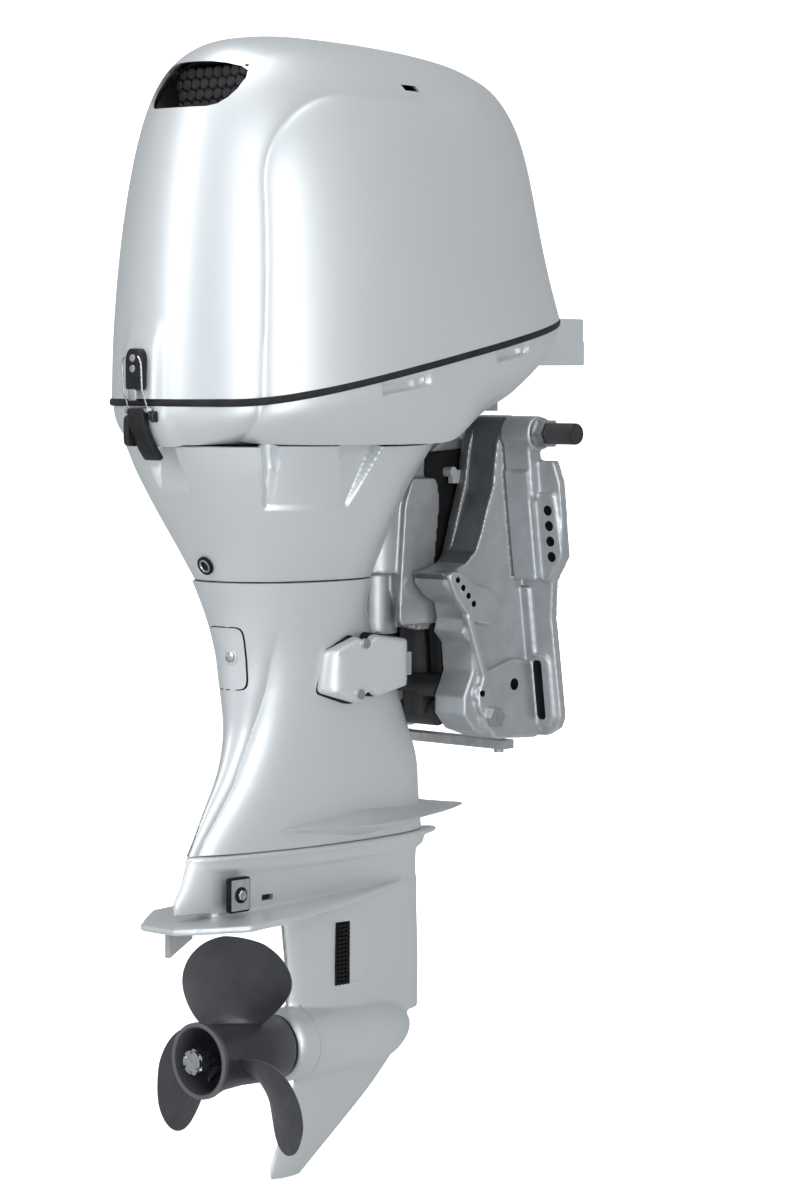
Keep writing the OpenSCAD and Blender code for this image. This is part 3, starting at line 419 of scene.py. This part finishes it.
def intake_liner(middle_y=-9, middle_z=397):
    """Duct behind the opening: a lip at a set depth behind the cover's face, and a flat end wall."""
    rings = []
    for scale, depth in ((1.04, 9), (1.04, 14), (1.04, 40), (0.6, 52), (0.1, 52)):
        ring = []
        for y, z in intake_outline:
            y, z = middle_y + (y - middle_y) * scale, middle_z + (z - middle_z) * scale
            beside = middle_y + (y - middle_y) * 1.12 / scale
            above = middle_z + (z - middle_z) * 1.3 / scale
            lip = meets(cover, (-560, beside, above), (1, 0, 0))[0]
            ring.append((min(lip + depth, -396) if depth < 30 else -352 - depth, y, z))
        rings.append(ring)
    return grid(np.array(rings), ends=(False, True))


def intake_pads():
    """Small hexagonal pads on the duct's end wall."""
    pads = []
    for row in range(4):
        for col in range(9):
            y, z = -66 + 14.6 * col + 7.3 * (row % 2), 377 + 12.6 * row
            pads.append(lathe([(0, 7.4), (5, 7.4), (7, 5.6)], (-402, y, z), (-1, 0, 0), 6, math.pi / 6))
    return pads


add("intake_liner", [intake_liner()], HOLLOW, "lid", ["intake_duct"], wall=1.5)
add("intake_pads", intake_pads(), PLASTIC, "lid", sharp=25)


def seal_points():
    """A ring section carried along the seam."""
    turn = around(560)
    rows = []
    for step in range(16):
        angle = TAU * step / 16
        k = 1 - 0.004 + 0.009 * math.cos(angle)
        x, y = plan(turn, k, k, k)
        rows.append(np.stack([x, y, seam_z(x) + 4.4 * math.sin(angle)], 2)[0])
    return np.array(rows)


add("seam_seal", [grid(seal_points(), loop=True)], RUBBER, "leg", ["cowl_seal"], sharp=80)


def pan_points():
    """The pan from the seam down to its floor, with louvres and the latch pad."""
    turn = around(560)
    drop = np.linspace(0, 1, 44)[:, None] ** 0.75
    k = 1 - 0.18 * drop ** 2.2
    x, y = plan(turn, k - 0.008, (1 - 0.045 * drop ** 2.2) - 0.008, k - 0.008)
    top = seam_z(x) - 4
    z = top + (keel_z(x) - top) * drop
    amount = crease(x, y, z)
    for middle, height, half, slope in ((-262, 58, 34, 0.20), (-77, 97, 33, 0.13)):
        along, up = x - middle, z - height - slope * (x - middle)
        inside = smooth(half + 2, half - 2, np.abs(along + 0.25 * up)) * smooth(7.5, 4.5, np.abs(up))
        amount -= 7.5 * inside * (np.abs(y) > 40)
        ribs = np.abs((along / 5.5) % 1 - 0.5) * 2
        amount += 3.6 * inside * ribs * smooth(half * 0.1, half * 0.3, along) * (np.abs(y) > 40)
    pad = (1 - smooth(30, 44, np.abs(y))) * smooth(-430, -460, x)
    amount += 3.5 * pad * (1 - smooth(14, 30, z) * 0.4)
    walls = push(np.stack([x, y, z], 2), amount)
    floor = []
    for reach in (0.78, 0.66, 0.5, 0.3, 0.12):
        fx, fy = plan(turn[0], reach, reach, reach)
        floor.append(np.stack([fx, fy, keel_z(fx)], 1))
    return np.concatenate([walls, np.array(floor)])


shaft_holes = [lathe([(0, r), (160, r)], (x, 0, -70), (0, 0, 1)) for x, r in ((-205, 30), (-300, 26))]
add("pan_shell", [grid(pan_points(), ends=(False, True))], LACQUER, "leg", ["lower_pan"],
    wall=3.5, cuts=shaft_holes)


# ---------- leg ----------

# Rows of height, then middle, reach aft, reach forward, half width and the two exponents of the oval
UPPER = np.array([[-12.5, -244, 243, 161, 138, 2.6, 2.3], [-43, -255, 217, 136, 131, 2.6, 2.3],
                  [-95, -266, 174, 114, 117, 2.55, 2.3], [-135, -274, 143, 112, 100, 2.45, 2.3],
                  [-170.6, -281, 121, 115, 79, 2.3, 2.3]])
EXTENSION = np.array([[-172.0, -281, 121, 111, 78, 2.3, 2.3], [-216, -276, 110, 107, 66, 2.2, 2.3],
                      [-251, -261, 118, 114, 60, 2.1, 2.3], [-299, -243, 132, 129, 55, 2, 2.3],
                      [-350, -230, 144, 142, 51, 1.9, 2.2], [-400, -225, 163, 160, 46, 1.8, 2.2],
                      [-445, -231, 182, 174, 41, 1.7, 2.1], [-489.5, -242, 196, 192, 36, 1.6, 2.1]])
LEG = np.array([[-490, -242, 196, 192, 36, 1.6, 2.1], [-525, -246, 204, 192, 31, 1.6, 2.1],
                [-548, -249, 213, 196, 28, 1.6, 2.1], [-558, -249, 211, 197, 26, 1.6, 2.1]])
STRUT = np.array([[-552, -170, 118, 118, 25, 1.6, 2.1], [-572, -170, 117, 118, 24, 1.6, 2.1],
                  [-640, -167, 112, 118, 23, 1.6, 2.1], [-715, -166, 110, 117, 24, 1.6, 2.1]])
SKEG = np.array([[-750, -171, 95, 95, 14, 1.4, 1.8], [-764, -175, 87, 87, 12, 1.4, 1.8],
                 [-800, -198.5, 72.5, 72.5, 9, 1.4, 1.8], [-848, -240, 50, 50, 7, 1.4, 1.8],
                 [-889, -275, 27.5, 27.5, 5, 1.4, 1.8], [-894, -277.5, 24, 24, 3, 1.4, 1.8]])


def eased(rows, count):
    """Rows at even heights, following a smooth curve through the given ones."""
    z = rows[:, 0]
    slope = np.gradient(rows, z, axis=0)
    heights = np.linspace(z[0], z[-1], count)
    result = []
    for h in heights:
        i = min(int(np.searchsorted(-z, -h, side="right")) - 1, len(z) - 2)
        span = z[i + 1] - z[i]
        t = (h - z[i]) / span
        result.append((2 * t ** 3 - 3 * t ** 2 + 1) * rows[i] + (t ** 3 - 2 * t ** 2 + t) * span * slope[i]
                      + (3 * t ** 2 - 2 * t ** 3) * rows[i + 1] + (t ** 3 - t ** 2) * span * slope[i + 1])
    return np.array(result)


def stack(rows, count):
    """Points of a tall skin whose outline follows the rows, closest together on its four sides."""
    turn = around(count)[0]
    turn = turn - 0.19 * np.sin(4 * turn)
    rings = []
    for row in rows:
        x, y = oval(turn, row[1:])
        rings.append(np.stack([x, y, np.full(count, row[0])], 1))
    return np.array(rings)


def upper_points():
    """The upper case, with a pocket and boss on each side and a scoop under the latch."""
    points = stack(eased(UPPER, 84), 480)
    points[..., 2] += (keel_z(points[..., 0]) + 9.9) * np.clip((points[..., 2] + 60) / 47.5, 0, 1)
    x, y, z = points[..., 0], points[..., 1], points[..., 2]
    side = np.abs(y) > 50
    left = -407 - 0.29 * (z + 78)
    right = -298 + 0.565 * (z + 81)
    rise = np.clip((z + 84) / 72, 0, 1.1)
    depth = (4 + 12 * rise) * smooth(-87, -81, z)
    pocket = smooth(-2, 3, x - left) * smooth(-2, 3, right - x)
    boss_left, boss_right = -401 - 0.11 * (z + 75), -303 - 0.27 * (z + 75)
    boss = smooth(-3, 3, x - boss_left) * smooth(-3, 3, boss_right - x)
    amount = -depth * pocket * (1 - (0.35 + 0.35 * rise) * boss) * side
    scoop = smooth(27, 23.5, np.abs(y)) * smooth(-400, -420, x)
    amount -= 0.56 * np.maximum(z + 66, 0) * scoop
    return push(points, amount)


add("upper_case_skin", [grid(upper_points())], LACQUER, "leg", ["upper_case"], wall=3.0)

plug_at, plug_way = (-411, 0, -153), (-0.923, 0, -0.385)
plug_rim = [(-4, 8), (-4, 11), (1.6, 11), (2.4, 10.2), (2.4, 8.8), (1.6, 8)]
plug_ring = [(-4, 5.6), (-4, 8.3), (1.7, 8.3), (2.2, 7.6), (2.2, 6.2), (1.4, 5.6)]
plug_core = [(-5, 5.9), (0.2, 5.9), (0.6, 5.0), (0.2, 0.2)]
add("plug_rim", [lathe(plug_rim, plug_at, plug_way, 56, loop=True)], HOLLOW, "leg", ["flush_plug"])
add("plug_ring", [lathe(plug_ring, plug_at, plug_way, 56, loop=True)], STEEL, "leg")
add("plug_core", [lathe(plug_core, plug_at, plug_way, 40)], HOLLOW, "leg")


def extension_points():
    """The extension case, with the valley that runs down its side."""
    points = stack(eased(EXTENSION, 120), 480)
    x, z = points[..., 0], points[..., 2]
    valley = np.interp(-z, [215, 298, 333, 363, 410, 447, 472, 490],
                       [-342, -345, -352, -361, -379, -402, -419, -428])
    amount = -5.0 * np.exp(-np.abs(x - valley) / 12) * smooth(-205, -300, z)
    return push(points, amount)


extension = add("extension_skin", [grid(extension_points())], LACQUER, "leg", ["extension_case"],
                wall=3.0)

# Edge profiles of plates: how far the edge pulls in, and how high it lies in thicknesses
FLAT = ((0.30, 0), (0.03, 0), (0.0, 0.3), (0.0, 0.7), (0.03, 1), (0.30, 1))
LENS = ((0.50, -3.4), (0.30, -1.5), (0.12, -0.5), (0.03, 0), (0.0, 0.3), (0.03, 0.7), (0.12, 1.2),
        (0.30, 2.4), (0.50, 4.2))


def plate(row, z, thick, profile=FLAT):
    """A level plate with the given edge profile."""
    turn = around(240)[0]
    rings = []
    for inset, level in profile:
        scaled = (row[0], row[1] * (1 - inset), row[2] * (1 - inset), row[3] * (1 - inset), row[4], row[5])
        x, y = oval(turn, scaled)
        rings.append(np.stack([x, y, np.full(240, z + level * thick)], 1))
    return grid(np.array(rings), ends=(True, True))


def patch(obj, middle, half, lift, lean=0.10, power=8):
    """A rounded panel on the aft face of a piece, from rays cast forwards."""
    rings = []
    for reach in np.linspace(1, 0.04, 12):
        ring = []
        for a in np.arange(72) * TAU / 72:
            y = reach * half[0] * float(spow(np.cos(a), 2 / power))
            z = reach * half[1] * float(spow(np.sin(a), 2 / power))
            place = (middle[0] + y * (1 + lean * z / half[1]), middle[1] + z)
            ring.append(meets(obj, (-600, *place), (1, 0, 0)) - np.array([lift, 0, 0]))
        rings.append(ring)
    return grid(np.array(rings), ends=(False, True))


panel_middle = (-3.5, -262)
panel_gap = patch(extension, panel_middle, (23.5, 37.5), 0.5)
panel_skin = patch(extension, panel_middle, (22.2, 36.2), 1.2)
add("panel_gap", [panel_gap], HOLLOW, "leg", wall=1.0)
add("panel_skin", [panel_skin], LACQUER, "leg", ["access_panel"], wall=1.2)

screw_at = meets(extension, (-600, -10, -260), (1, 0, 0)) - np.array([1.2, 0, 0])
screw_way = (-0.985, -0.17, 0)
screw_seat = [(-2, 9), (0.4, 9), (0.7, 8.4), (0.7, 7.2), (-1, 6.8), (-1, 0.2)]
screw_head = [(-2, 6.0), (0.8, 6.0), (1.4, 5.2), (1.4, 0.2)]
driver_slot = ([tuple(screw_at + np.array((x, y, z))) for x in (-9, -0.6)
                for y, z in ((-7, -4.4), (7, 3.0), (7, 4.4), (-7, -3.0))],
               [(0, 1, 2, 3), (7, 6, 5, 4), (0, 4, 5, 1), (1, 5, 6, 2), (2, 6, 7, 3), (3, 7, 4, 0)])
add("panel_screw_seat", [lathe(screw_seat, screw_at, screw_way, 48)], LACQUER, "leg")
add("panel_screw_head", [lathe(screw_head, screw_at, screw_way, 48)], STEEL, "leg", ["panel_screw"],
    cuts=[driver_slot])

splash = plate((-190, 160, 225, 74, 1.7, 1.35), -469, 4.6, LENS)
add("splash_plate", [splash], LACQUER, "leg")


torpedo_profile = [(-294, 37), (-293, 40), (-286, 43.5), (-280, 44), (-150, 44)]
torpedo_profile += [(-150 + 86 * math.sin(a), max(44 * math.cos(a) ** 1.5, 0.2))
                    for a in np.linspace(0, math.pi / 2, 14)[1:]]
torpedo = lathe(torpedo_profile, SHAFT, (1, 0, 0), 96)
half_plan = [(-486, -30), (-418, -84), (-350, -86), (-230, -62), (-120, -32), (-72, -8)]
plate_plan = half_plan + [(x, -y) for x, y in reversed(half_plan)]
plate_points, plate_faces = prism(rounded(plate_plan, 6), -551, -543, "z")
antivent = ([(x, y, z + 0.049 * x) for x, y, z in plate_points], plate_faces)
joint_rim = plate((-225, 215, 210, 44, 1.6, 1.7), -498, 7)
joint_band = plate((-238, 202, 198, 39, 1.6, 2.0), -512, 19)
leg_body = grid(stack(eased(LEG, 60), 260), ends=(True, True))
strut_body = grid(stack(eased(STRUT, 70), 260), ends=(True, True))
skeg_body = grid(stack(eased(SKEG, 40), 160), ends=(True, True))

gear_bore = lathe([(-320, 38), (-160, 38)], SHAFT, (1, 0, 0))
screen_opening = block((-213, -40, -667), (-190, 40, -590))
drain_slot = block((-341, -40, -549), (-324, -16, -542), 3)
hollows = [prism([(-191, 34 * way), (-191, 19.5 * way), (-168, 23.4 * way), (-168, 34 * way)],
                 -665, -592, "z") for way in (-1, 1)]
ring_line = lathe([(-262.6, 43.2), (-262.6, 48), (-261.6, 48), (-261.6, 43.2)], SHAFT, (1, 0, 0), 96,
                  loop=True)
add("gearcase_skin", [leg_body, torpedo, joint_band, strut_body, antivent, joint_rim, skeg_body], LACQUER,
    "leg", ["gearcase"], melt=2.3, rounds=5,
    cuts=[gear_bore, screen_opening, drain_slot] + hollows + [ring_line])

slats = [block((-213, -22.4, z), (-190, -17, z + 2.4)) for z in range(-666, -591, 5)]
posts = [block((x, -22.0, -667), (x + 1.6, -17, -590)) for x in (-213, -207, -201, -195, -191.6)]
screen_back = block((-213, -18.4, -667), (-190, -15.5, -590))
add("water_screen_grilles", both(screen_back, *slats, *posts), HOLLOW, "leg", ["water_screens"],
    bevel=0.3)

anode_low, anode_high = (np.array(corner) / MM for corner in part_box("gearcase_anode"))
face_y = float(anode_low[1])
border = [(anode_low[0] - 2.5, anode_low[2] - 2.5), (anode_high[0] + 2.5, anode_low[2] - 2.5),
          (anode_high[0] + 2.5, anode_high[2] + 2.5), (anode_low[0] - 2.5, anode_high[2] + 2.5)]
drain_outline = [(-340, -548.5), (-325, -548.5), (-325, -542.5), (-340, -542.5)]
# The second prism is a black inlay on the drain slot's floor: painted shade inside the slot
add("anode_pad_and_drain_shade", [prism(rounded(border, 4), face_y + 1.4, face_y + 8),
                  prism(rounded(drain_outline, 3), -20.4, -15)],
    HOLLOW, "leg", bevel=0.6)
bolt_at = (float((anode_low[0] + anode_high[0]) / 2), face_y - 0.2, float((anode_low[2] + anode_high[2]) / 2))
washer = [(-1, 9.5), (0.8, 9.5), (1.2, 8.8)]
bolt_head = [(0, 6.5), (3.4, 6.5), (4.2, 5.6), (4.2, 3.2), (2.2, 3.0), (2.2, 0.2)]
add("anode_washer", [lathe(washer, bolt_at, (0, -1, 0), 40)], HOLLOW, "leg")
add("anode_bolt", [lathe(bolt_head, bolt_at, (0, -1, 0), 6)], STEEL, "leg", bevel=0.4)


# ---------- propeller ----------

def blade_part(number):
    """One of the three blades: a row of pitched sections from the hub to the tip."""
    radii = np.concatenate([np.linspace(33, 44, 8), np.linspace(47, 132, 34), np.linspace(133, 141.4, 12)])
    chord = np.sin(np.linspace(-math.pi / 2, math.pi / 2, 30))
    rings = []
    for r in radii:
        reach = math.radians(37) * math.sqrt(max(0.004, 1 - (abs(r - 78) / 65.5) ** 2.3))
        fillet = 5.0 * math.exp(-max(r - 38, 0) / 4.0)
        ring = []
        for side, s in [(-1, s) for s in chord] + [(1, s) for s in chord[::-1]]:
            angle = reach * s + math.radians(0.1 * (r - 70))
            thick = (0.8 + 3.6 * (141.5 - r) / 110) * (1 - s * s) + 0.7 + fillet * (1 - s ** 4)
            x = -359 + 330 / 360 * math.degrees(angle) - 0.12 * (r - 40) + side * thick
            turn = angle - math.radians(120) * number
            ring.append((x, -r * math.sin(turn), PROP_Z + r * math.cos(turn)))
        rings.append(ring)
    return grid(np.array(rings), ends=(True, True))


hub_profile = [(-421, 40), (-421.6, 42), (-421, 45), (-416, 45.2), (-408, 42.5), (-395, 39), (-360, 37.4),
               (-300, 40), (-298.2, 39), (-298.2, 34.4), (-350, 33), (-358, 26), (-322, 25), (-322, 12),
               (-364, 12), (-365, 22), (-361, 31), (-366, 34), (-395, 35)]
hub = lathe(hub_profile, SHAFT, (1, 0, 0), 120, loop=True)
add("propeller_skin", [blade_part(n) for n in range(3)] + [hub], PROP_PAINT, "screw", ["propeller"],
    sharp=45)


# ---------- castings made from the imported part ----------

def casting(name, node, body, extras=(), voxel=2.2, rounds=5, material=CASTING, cuts=()):
    """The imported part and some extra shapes, melted into one smooth casting."""
    return add(name, [node_part(node)] + list(extras), material, body, [node], melt=voxel,
               rounds=rounds, cuts=cuts, sharp=75)


def paint_shade(obj, test, material=SHADE):
    """Paints shade on the faces that pass the test, as a second, darker material."""
    obj.data.materials.append(material)
    last = len(obj.data.materials) - 1
    for face in obj.data.polygons:
        if test(face.center / MM, face.normal):
            face.material_index = last


def leaning(part):
    """The part tipped to lie along the transom."""
    verts, faces = part
    return [(x - 0.1405 * z, y, z) for x, y, z in verts], faces


TRANSOM_WAY = (0.990268, 0, 0.139173)
BOLT_Y, BOLT_Z, BOLT_STEP = 163.5, -92, 18.87
SLOT_Y = 125.5
# Place along, height and radius of the holes through the side of a bracket
PINS = [(-103 + 9.6 * n, -176 - 10 * n, 4) for n in range(4)] + [(-58, -316, 4.2), (0, -308, 7.5)]

ear_fill = prism(rounded([(-16, -12), (8, -8), (14, -80), (-6, -80)], 6), -150, -104)
bolt_pad = prism(rounded([(-140, -74), (-174, -72), (-180, -150), (-153, -181), (-140, -181)], 6),
                 -7.3, 9.2, "x")
slot_pad = prism(rounded([(-144, -272), (-106, -272), (-106, -362), (-144, -362)], 15), -7.3, 9.2, "x")
foot_block = prism(rounded([(-66, -330), (-55, -291), (0, -276), (38, -284), (48, -374), (-34, -374)], 9),
                   -117, -106)
front_rib = prism([(19, -190), (28, -190), (41, -281), (32, -281)], -121, -106)
aft_rib = prism([(-86, -221), (-77, -219), (-48, -290), (-57, -294)], -117, -106)
pin_boss = prism(rounded([(-120, -169), (-101, -164), (-70, -184), (-38, -191), (-24, -212), (-42, -234),
                          (-74, -228), (-106, -197)], 14), -116, -106)
raised = [ear_fill, leaning(bolt_pad), leaning(slot_pad), foot_block, front_rib, aft_rib, pin_boss]


def in_hole(p, n):
    """True on the walls of the bracket's holes and slot."""
    if abs(n.x) < 0.7:
        if abs(abs(p.y) - SLOT_Y) < 7 and -354.5 < p.z < -279:
            return True
        if any(math.hypot(abs(p.y) - BOLT_Y, p.z - BOLT_Z + BOLT_STEP * k) < 7.6 for k in range(4)):
            return True
    return abs(n.y) < 0.7 and any(math.hypot(p.x - x, p.z - z) < r + 0.5 for x, z, r in PINS)


for side_name, way in (("starboard", -1), ("port", 1)):
    extras = raised if way < 0 else [mirrored(p) for p in raised]
    holes = [lathe([(-40, 6.5), (40, 6.5)], (18 + 2.65 * n, way * BOLT_Y, BOLT_Z - BOLT_STEP * n),
                   TRANSOM_WAY, 32) for n in range(4)]
    near, far = way * SLOT_Y - 6.5, way * SLOT_Y + 6.5
    slot_hole = prism(rounded([(near, -279.5), (far, -279.5), (far, -354), (near, -354)], 6.4), -20, 120, "x")
    pins = [lathe([(-14, r), (14, r)], (x, way * 106, z), (0, 1, 0), 28) for x, z, r in PINS]
    bracket = casting(f"bracket_casting_{side_name}", f"stern_bracket_{side_name}", "transom_bracket", extras,
                      voxel=1.9, rounds=4, cuts=holes + pins + [slot_hole])
    # Painted shade: near black on the walls of the holes and slot, and the dark casting colour on the
    # aft-facing faces of the bracket's upper part
    paint_shade(bracket, in_hole, HOLLOW)
    paint_shade(bracket, lambda p, n: n.x < -0.5 and p.z > -175 and abs(p.y) < 112)

cheek = prism(rounded([(-115, -55), (-72, -55), (-66, -82), (-76, -168), (-50, -203), (-46, -233),
                       (-125, -233), (-136, -232), (-136, -199), (-128, -87)], 8), -52, -43)
arm = prism(rounded([(-18, 12), (12, 14), (16, -60), (-6, -120), (-40, -165), (-72, -172), (-52, -110),
                     (-36, -60), (-30, -18)], 10), -66, -52)
mark = lathe([(0, 13), (9.6, 13), (9.6, 11.4), (8.8, 11.4), (8.8, 0.2)], (-116, -44, -185), (0, -1, 0), 40)
swivel = casting("swivel_casting", "swivel_bracket", "tilt_bracket", both(cheek, arm, mark), voxel=2.0)
# Painted shade: near-black sheets inside the swivel, filling the gap between its cheeks where only shade
# shows
shade_sheet = prism(rounded([(-82, -24), (18, -18), (16, -60), (-6, -120), (-30, -180), (-52, -206), (-84, -176)], 8),
            -43, -38)
add("swivel_shade_sheets", both(shade_sheet), HOLLOW, "tilt_bracket", bevel=1.0)
# Painted shade on the swivel's aft-facing faces
paint_shade(swivel, lambda p, n: n.x < -0.4 and abs(p.y) > 52 and p.z > -172)
casting("yoke_casting", "lower_yoke", "leg", voxel=2.0)


def mount_shell(grow=0.0, drop=0):
    """Cover over a lower mount: a faceted face with a rolled edge, which can be grown and dropped inboard."""
    rings = []
    for scale, depth in ((1.0, 30), (1.0, 9), (0.985, 4), (0.95, 1), (0.88, 0), (0.76, 0), (0.64, 0),
                         (0.5, 0), (0.35, 0), (0.2, 0), (0.08, 0)):
        ring = []
        for x, z in mount_outline:
            x, z = -214 + (x + 214) * (scale + grow), -278 + (z + 278) * (scale + grow)
            face = np.interp(x, [-282, -268, -166, -150], [-67, -78, -88, -80])
            ring.append((x, face + depth + drop, z))
        rings.append(ring)
    return grid(np.array(rings), ends=(True, True))


mount_outline = rounded([(-279, -256), (-236, -239), (-228, -246), (-218, -246), (-210, -238),
                         (-152, -246), (-152, -302), (-206, -313), (-214, -306), (-226, -308),
                         (-234, -320), (-283, -305)], 6)
for side_name, turned in (("starboard", lambda p: p), ("port", mirrored)):
    add(f"mount_cover_skin_{side_name}", [turned(mount_shell())], LACQUER, "leg",
        [f"mount_cover_{side_name}"], bevel=1.5)
    add(f"mount_gap_{side_name}", [turned(mount_shell(grow=0.045, drop=9))], HOLLOW, "leg")
casting("front_cover_skin", "front_cover", "leg", voxel=1.8, rounds=4, material=LACQUER)


# ---------- latch ----------

striker = prism(rounded([(-14, 50), (14, 50), (14, 88), (9, 97), (-9, 97), (-14, 88)], 5), -524, -498, "x")
add("striker_block", [striker], PLASTIC, "lid", ["latch_striker"], bevel=2.5)
screw_profile = [(-2, 4.4), (1.0, 4.4), (1.6, 3.8), (1.6, 2.0), (0.4, 1.8), (0.4, 0.2)]
add("striker_screws", [lathe(screw_profile, (-524, 0, z), (-1, 0, 0), 28) for z in (74, 86)], STEEL, "lid")

lever_outline = [(-521, 29.5), (-514, 29.5), (-511.5, 22), (-510.5, 10), (-503.5, -5), (-495, -17),
                 (-487, -27), (-494, -31), (-503, -20), (-512, -6), (-519.5, 10), (-522.5, 27)]
add("lever_shell", [prism(rounded(lever_outline, 5), -13.2, 13.2)], PLASTIC, "latch", ["latch_lever"],
    bevel=2.0)
pin_profile = [(-19, 3.4), (-18.4, 4), (18.4, 4), (19, 3.4)]
add("lever_pin", [lathe(pin_profile, (-516, 0, 27), (0, 1, 0), 28)], STEEL, "latch")

side_lug = prism(rounded([(-517, -14), (-499, -14), (-499, 22), (-517, 22)], 8), 15.5, 24)
pin_cap = lathe([(0, 6.5), (5, 6.5), (6, 5.5)], (-511, -19.5, 20), (0, -1, 0), 32)
add("latch_side_lugs", [side_lug, pin_cap], PLASTIC, "leg", bevel=1.6)

strap = prism(rounded([(-6.5, 38), (6.5, 38), (6.0, 51), (-6.0, 51)], 2), -526, -523.4, "x")
bail = tube([(-516, -16.4, 27), (-519, -15.8, 37), (-524.5, -15.6, 50), (-526, -15.6, 78),
             (-526.4, -14.5, 84), (-526.6, -11, 88)], 1.1)
add("latch_bail", [strap] + both(bail), STEEL, "lid", bevel=0.4)


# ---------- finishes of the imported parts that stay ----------

finishes = [
    (STEEL, ["tilt_tube", "tilt_tube_nuts", "ram_pins", "lower_cross_bolt", "tilt_rod", "swivel_shaft",
             "mount_cover_bolts", "panel_screw", "crankshaft", "flywheel", "drive_shaft", "camshaft",
             "forward_gear", "reverse_gear", "clutch_dog", "prop_shaft", "castle_nut"]),
    (PLASTIC, ["tilt_tube_cap", "pump_unit", "flush_plug", "intake_duct", "latch_striker", "latch_lever",
               "control_unit", "head_cover", "intake_manifold", "tilt_bushes", "swivel_bushes",
               "starter_motor", "oil_filter", "water_screens", "tilt_cylinder", "water_pump_housing"]),
    (RUBBER, ["rigging_grommet", "mount_rubbers", "timing_belt", "pump_impeller"]),
    (ZINC, ["bracket_anode", "gearcase_anode", "trim_tab"]),
    (ALUMINIUM, ["cylinder_head", "engine_block", "bearing_carrier", "exhaust_tube"]),
    (LACQUER, ["access_panel", "tilt_lock_lever"]),
]
for material, names in finishes:
    for node_name in names:
        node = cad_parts[node_name]
        node.data.materials.clear()
        node.data.materials.append(material)
        node.data.shade_smooth()
        node.data.set_sharp_from_angle(angle=math.radians(35))


# ---------- floor, light and camera ----------

def plain(name, colour, glow):
    """An even, slightly glowing finish for the backdrop."""
    material = bpy.data.materials.new(name)
    material.use_nodes = True
    shader = material.node_tree.nodes["Principled BSDF"]
    shader.inputs["Base Color"].default_value = (*colour, 1)
    shader.inputs["Roughness"].default_value = 0.9
    shader.inputs["Emission Color"].default_value = (*colour, 1)
    shader.inputs["Emission Strength"].default_value = glow
    return material


FLOOR_Z, FLOOR_REACH, BEND = -0.8965, 30, 2.5


def sweep():
    """Floor that curves up into a backdrop behind the motor."""
    away = Vector((0.728, 0.685, 0)).normalized()
    side = Vector((away.y, -away.x, 0))
    profile = [(-FLOOR_REACH, FLOOR_Z), (BEND, FLOOR_Z)]
    profile += [(BEND + BEND * math.sin(a), FLOOR_Z + BEND * (1 - math.cos(a)))
                for a in np.linspace(0.1, 1.57, 14)]
    profile += [(2 * BEND, 7)]
    rings = [[tuple((away * d + side * w + Vector((0, 0, z))) / MM) for w in (-FLOOR_REACH, FLOOR_REACH)]
             for d, z in profile]
    return grid(np.array(rings), around=False)


floor = new_mesh("studio_floor", [sweep()])
floor.data.materials.append(plain("studio_white", (0.90, 0.905, 0.91), 0.55))
floor.data.shade_smooth()
floor.visible_glossy = False


def area_light(name, place, target, size, power):
    """A soft rectangular light at a place, turned to the target."""
    light = bpy.data.lights.new(name, "AREA")
    light.shape = "RECTANGLE"
    light.size, light.size_y = size
    light.energy = power
    obj = bpy.data.objects.new(name, light)
    obj.location = place
    obj.rotation_euler = (Vector(target) - Vector(place)).to_track_quat("-Z", "Y").to_euler()
    bpy.context.scene.collection.objects.link(obj)


area_light("key", (-3.2, 0.2, 1.3), (-0.3, 0, -0.1), size=(1.3, 3.0), power=32)
area_light("fill", (-1.5, -3.0, 0.3), (-0.2, 0, -0.3), size=(1.4, 3.0), power=42)
area_light("top", (-0.6, -0.2, 3.0), (-0.2, 0, 0), size=(1.8, 1.8), power=46)

world = bpy.data.worlds.new("studio")
bpy.context.scene.world = world
world.use_nodes = True
world_nodes, world_links = world.node_tree.nodes, world.node_tree.links
world_nodes["Background"].inputs["Strength"].default_value = 0.95
where = world_nodes.new("ShaderNodeTexCoord")
facing = world_nodes.new("ShaderNodeVectorMath")
facing.operation = "DOT_PRODUCT"
facing.inputs[1].default_value = (-0.80, -0.35, 0.48)
shades = world_nodes.new("ShaderNodeValToRGB")
shades.color_ramp.elements[0].position = 0.0
shades.color_ramp.elements[0].color = (0.36, 0.37, 0.38, 1)
shades.color_ramp.elements[1].position = 0.85
shades.color_ramp.elements[1].color = (0.88, 0.91, 0.94, 1)
world_links.new(where.outputs["Generated"], facing.inputs[0])
world_links.new(facing.outputs["Value"], shades.inputs["Fac"])
world_links.new(shades.outputs["Color"], world_nodes["Background"].inputs["Color"])
bpy.context.scene.view_settings.view_transform = "Standard"

YAW, PITCH, ROLL = (math.radians(a) for a in (46.743, 3.631, 0.321))
view = Vector((math.sin(YAW) * math.cos(PITCH), math.cos(YAW) * math.cos(PITCH), -math.sin(PITCH)))
right = Vector((math.cos(YAW), -math.sin(YAW), 0))
up = right.cross(view)
right, up = right * math.cos(ROLL) + up * math.sin(ROLL), up * math.cos(ROLL) - right * math.sin(ROLL)
lens = bpy.data.cameras.new("camera")
lens.lens = 99.6
lens.sensor_width = 36
camera = bpy.data.objects.new("camera", lens)
camera.matrix_world = Matrix.Translation((-3.0545485, -2.7975160, 0.0524812)) @ Matrix(
    (right, up, -view)).transposed().to_4x4()
bpy.context.scene.collection.objects.link(camera)
bpy.context.scene.camera = camera
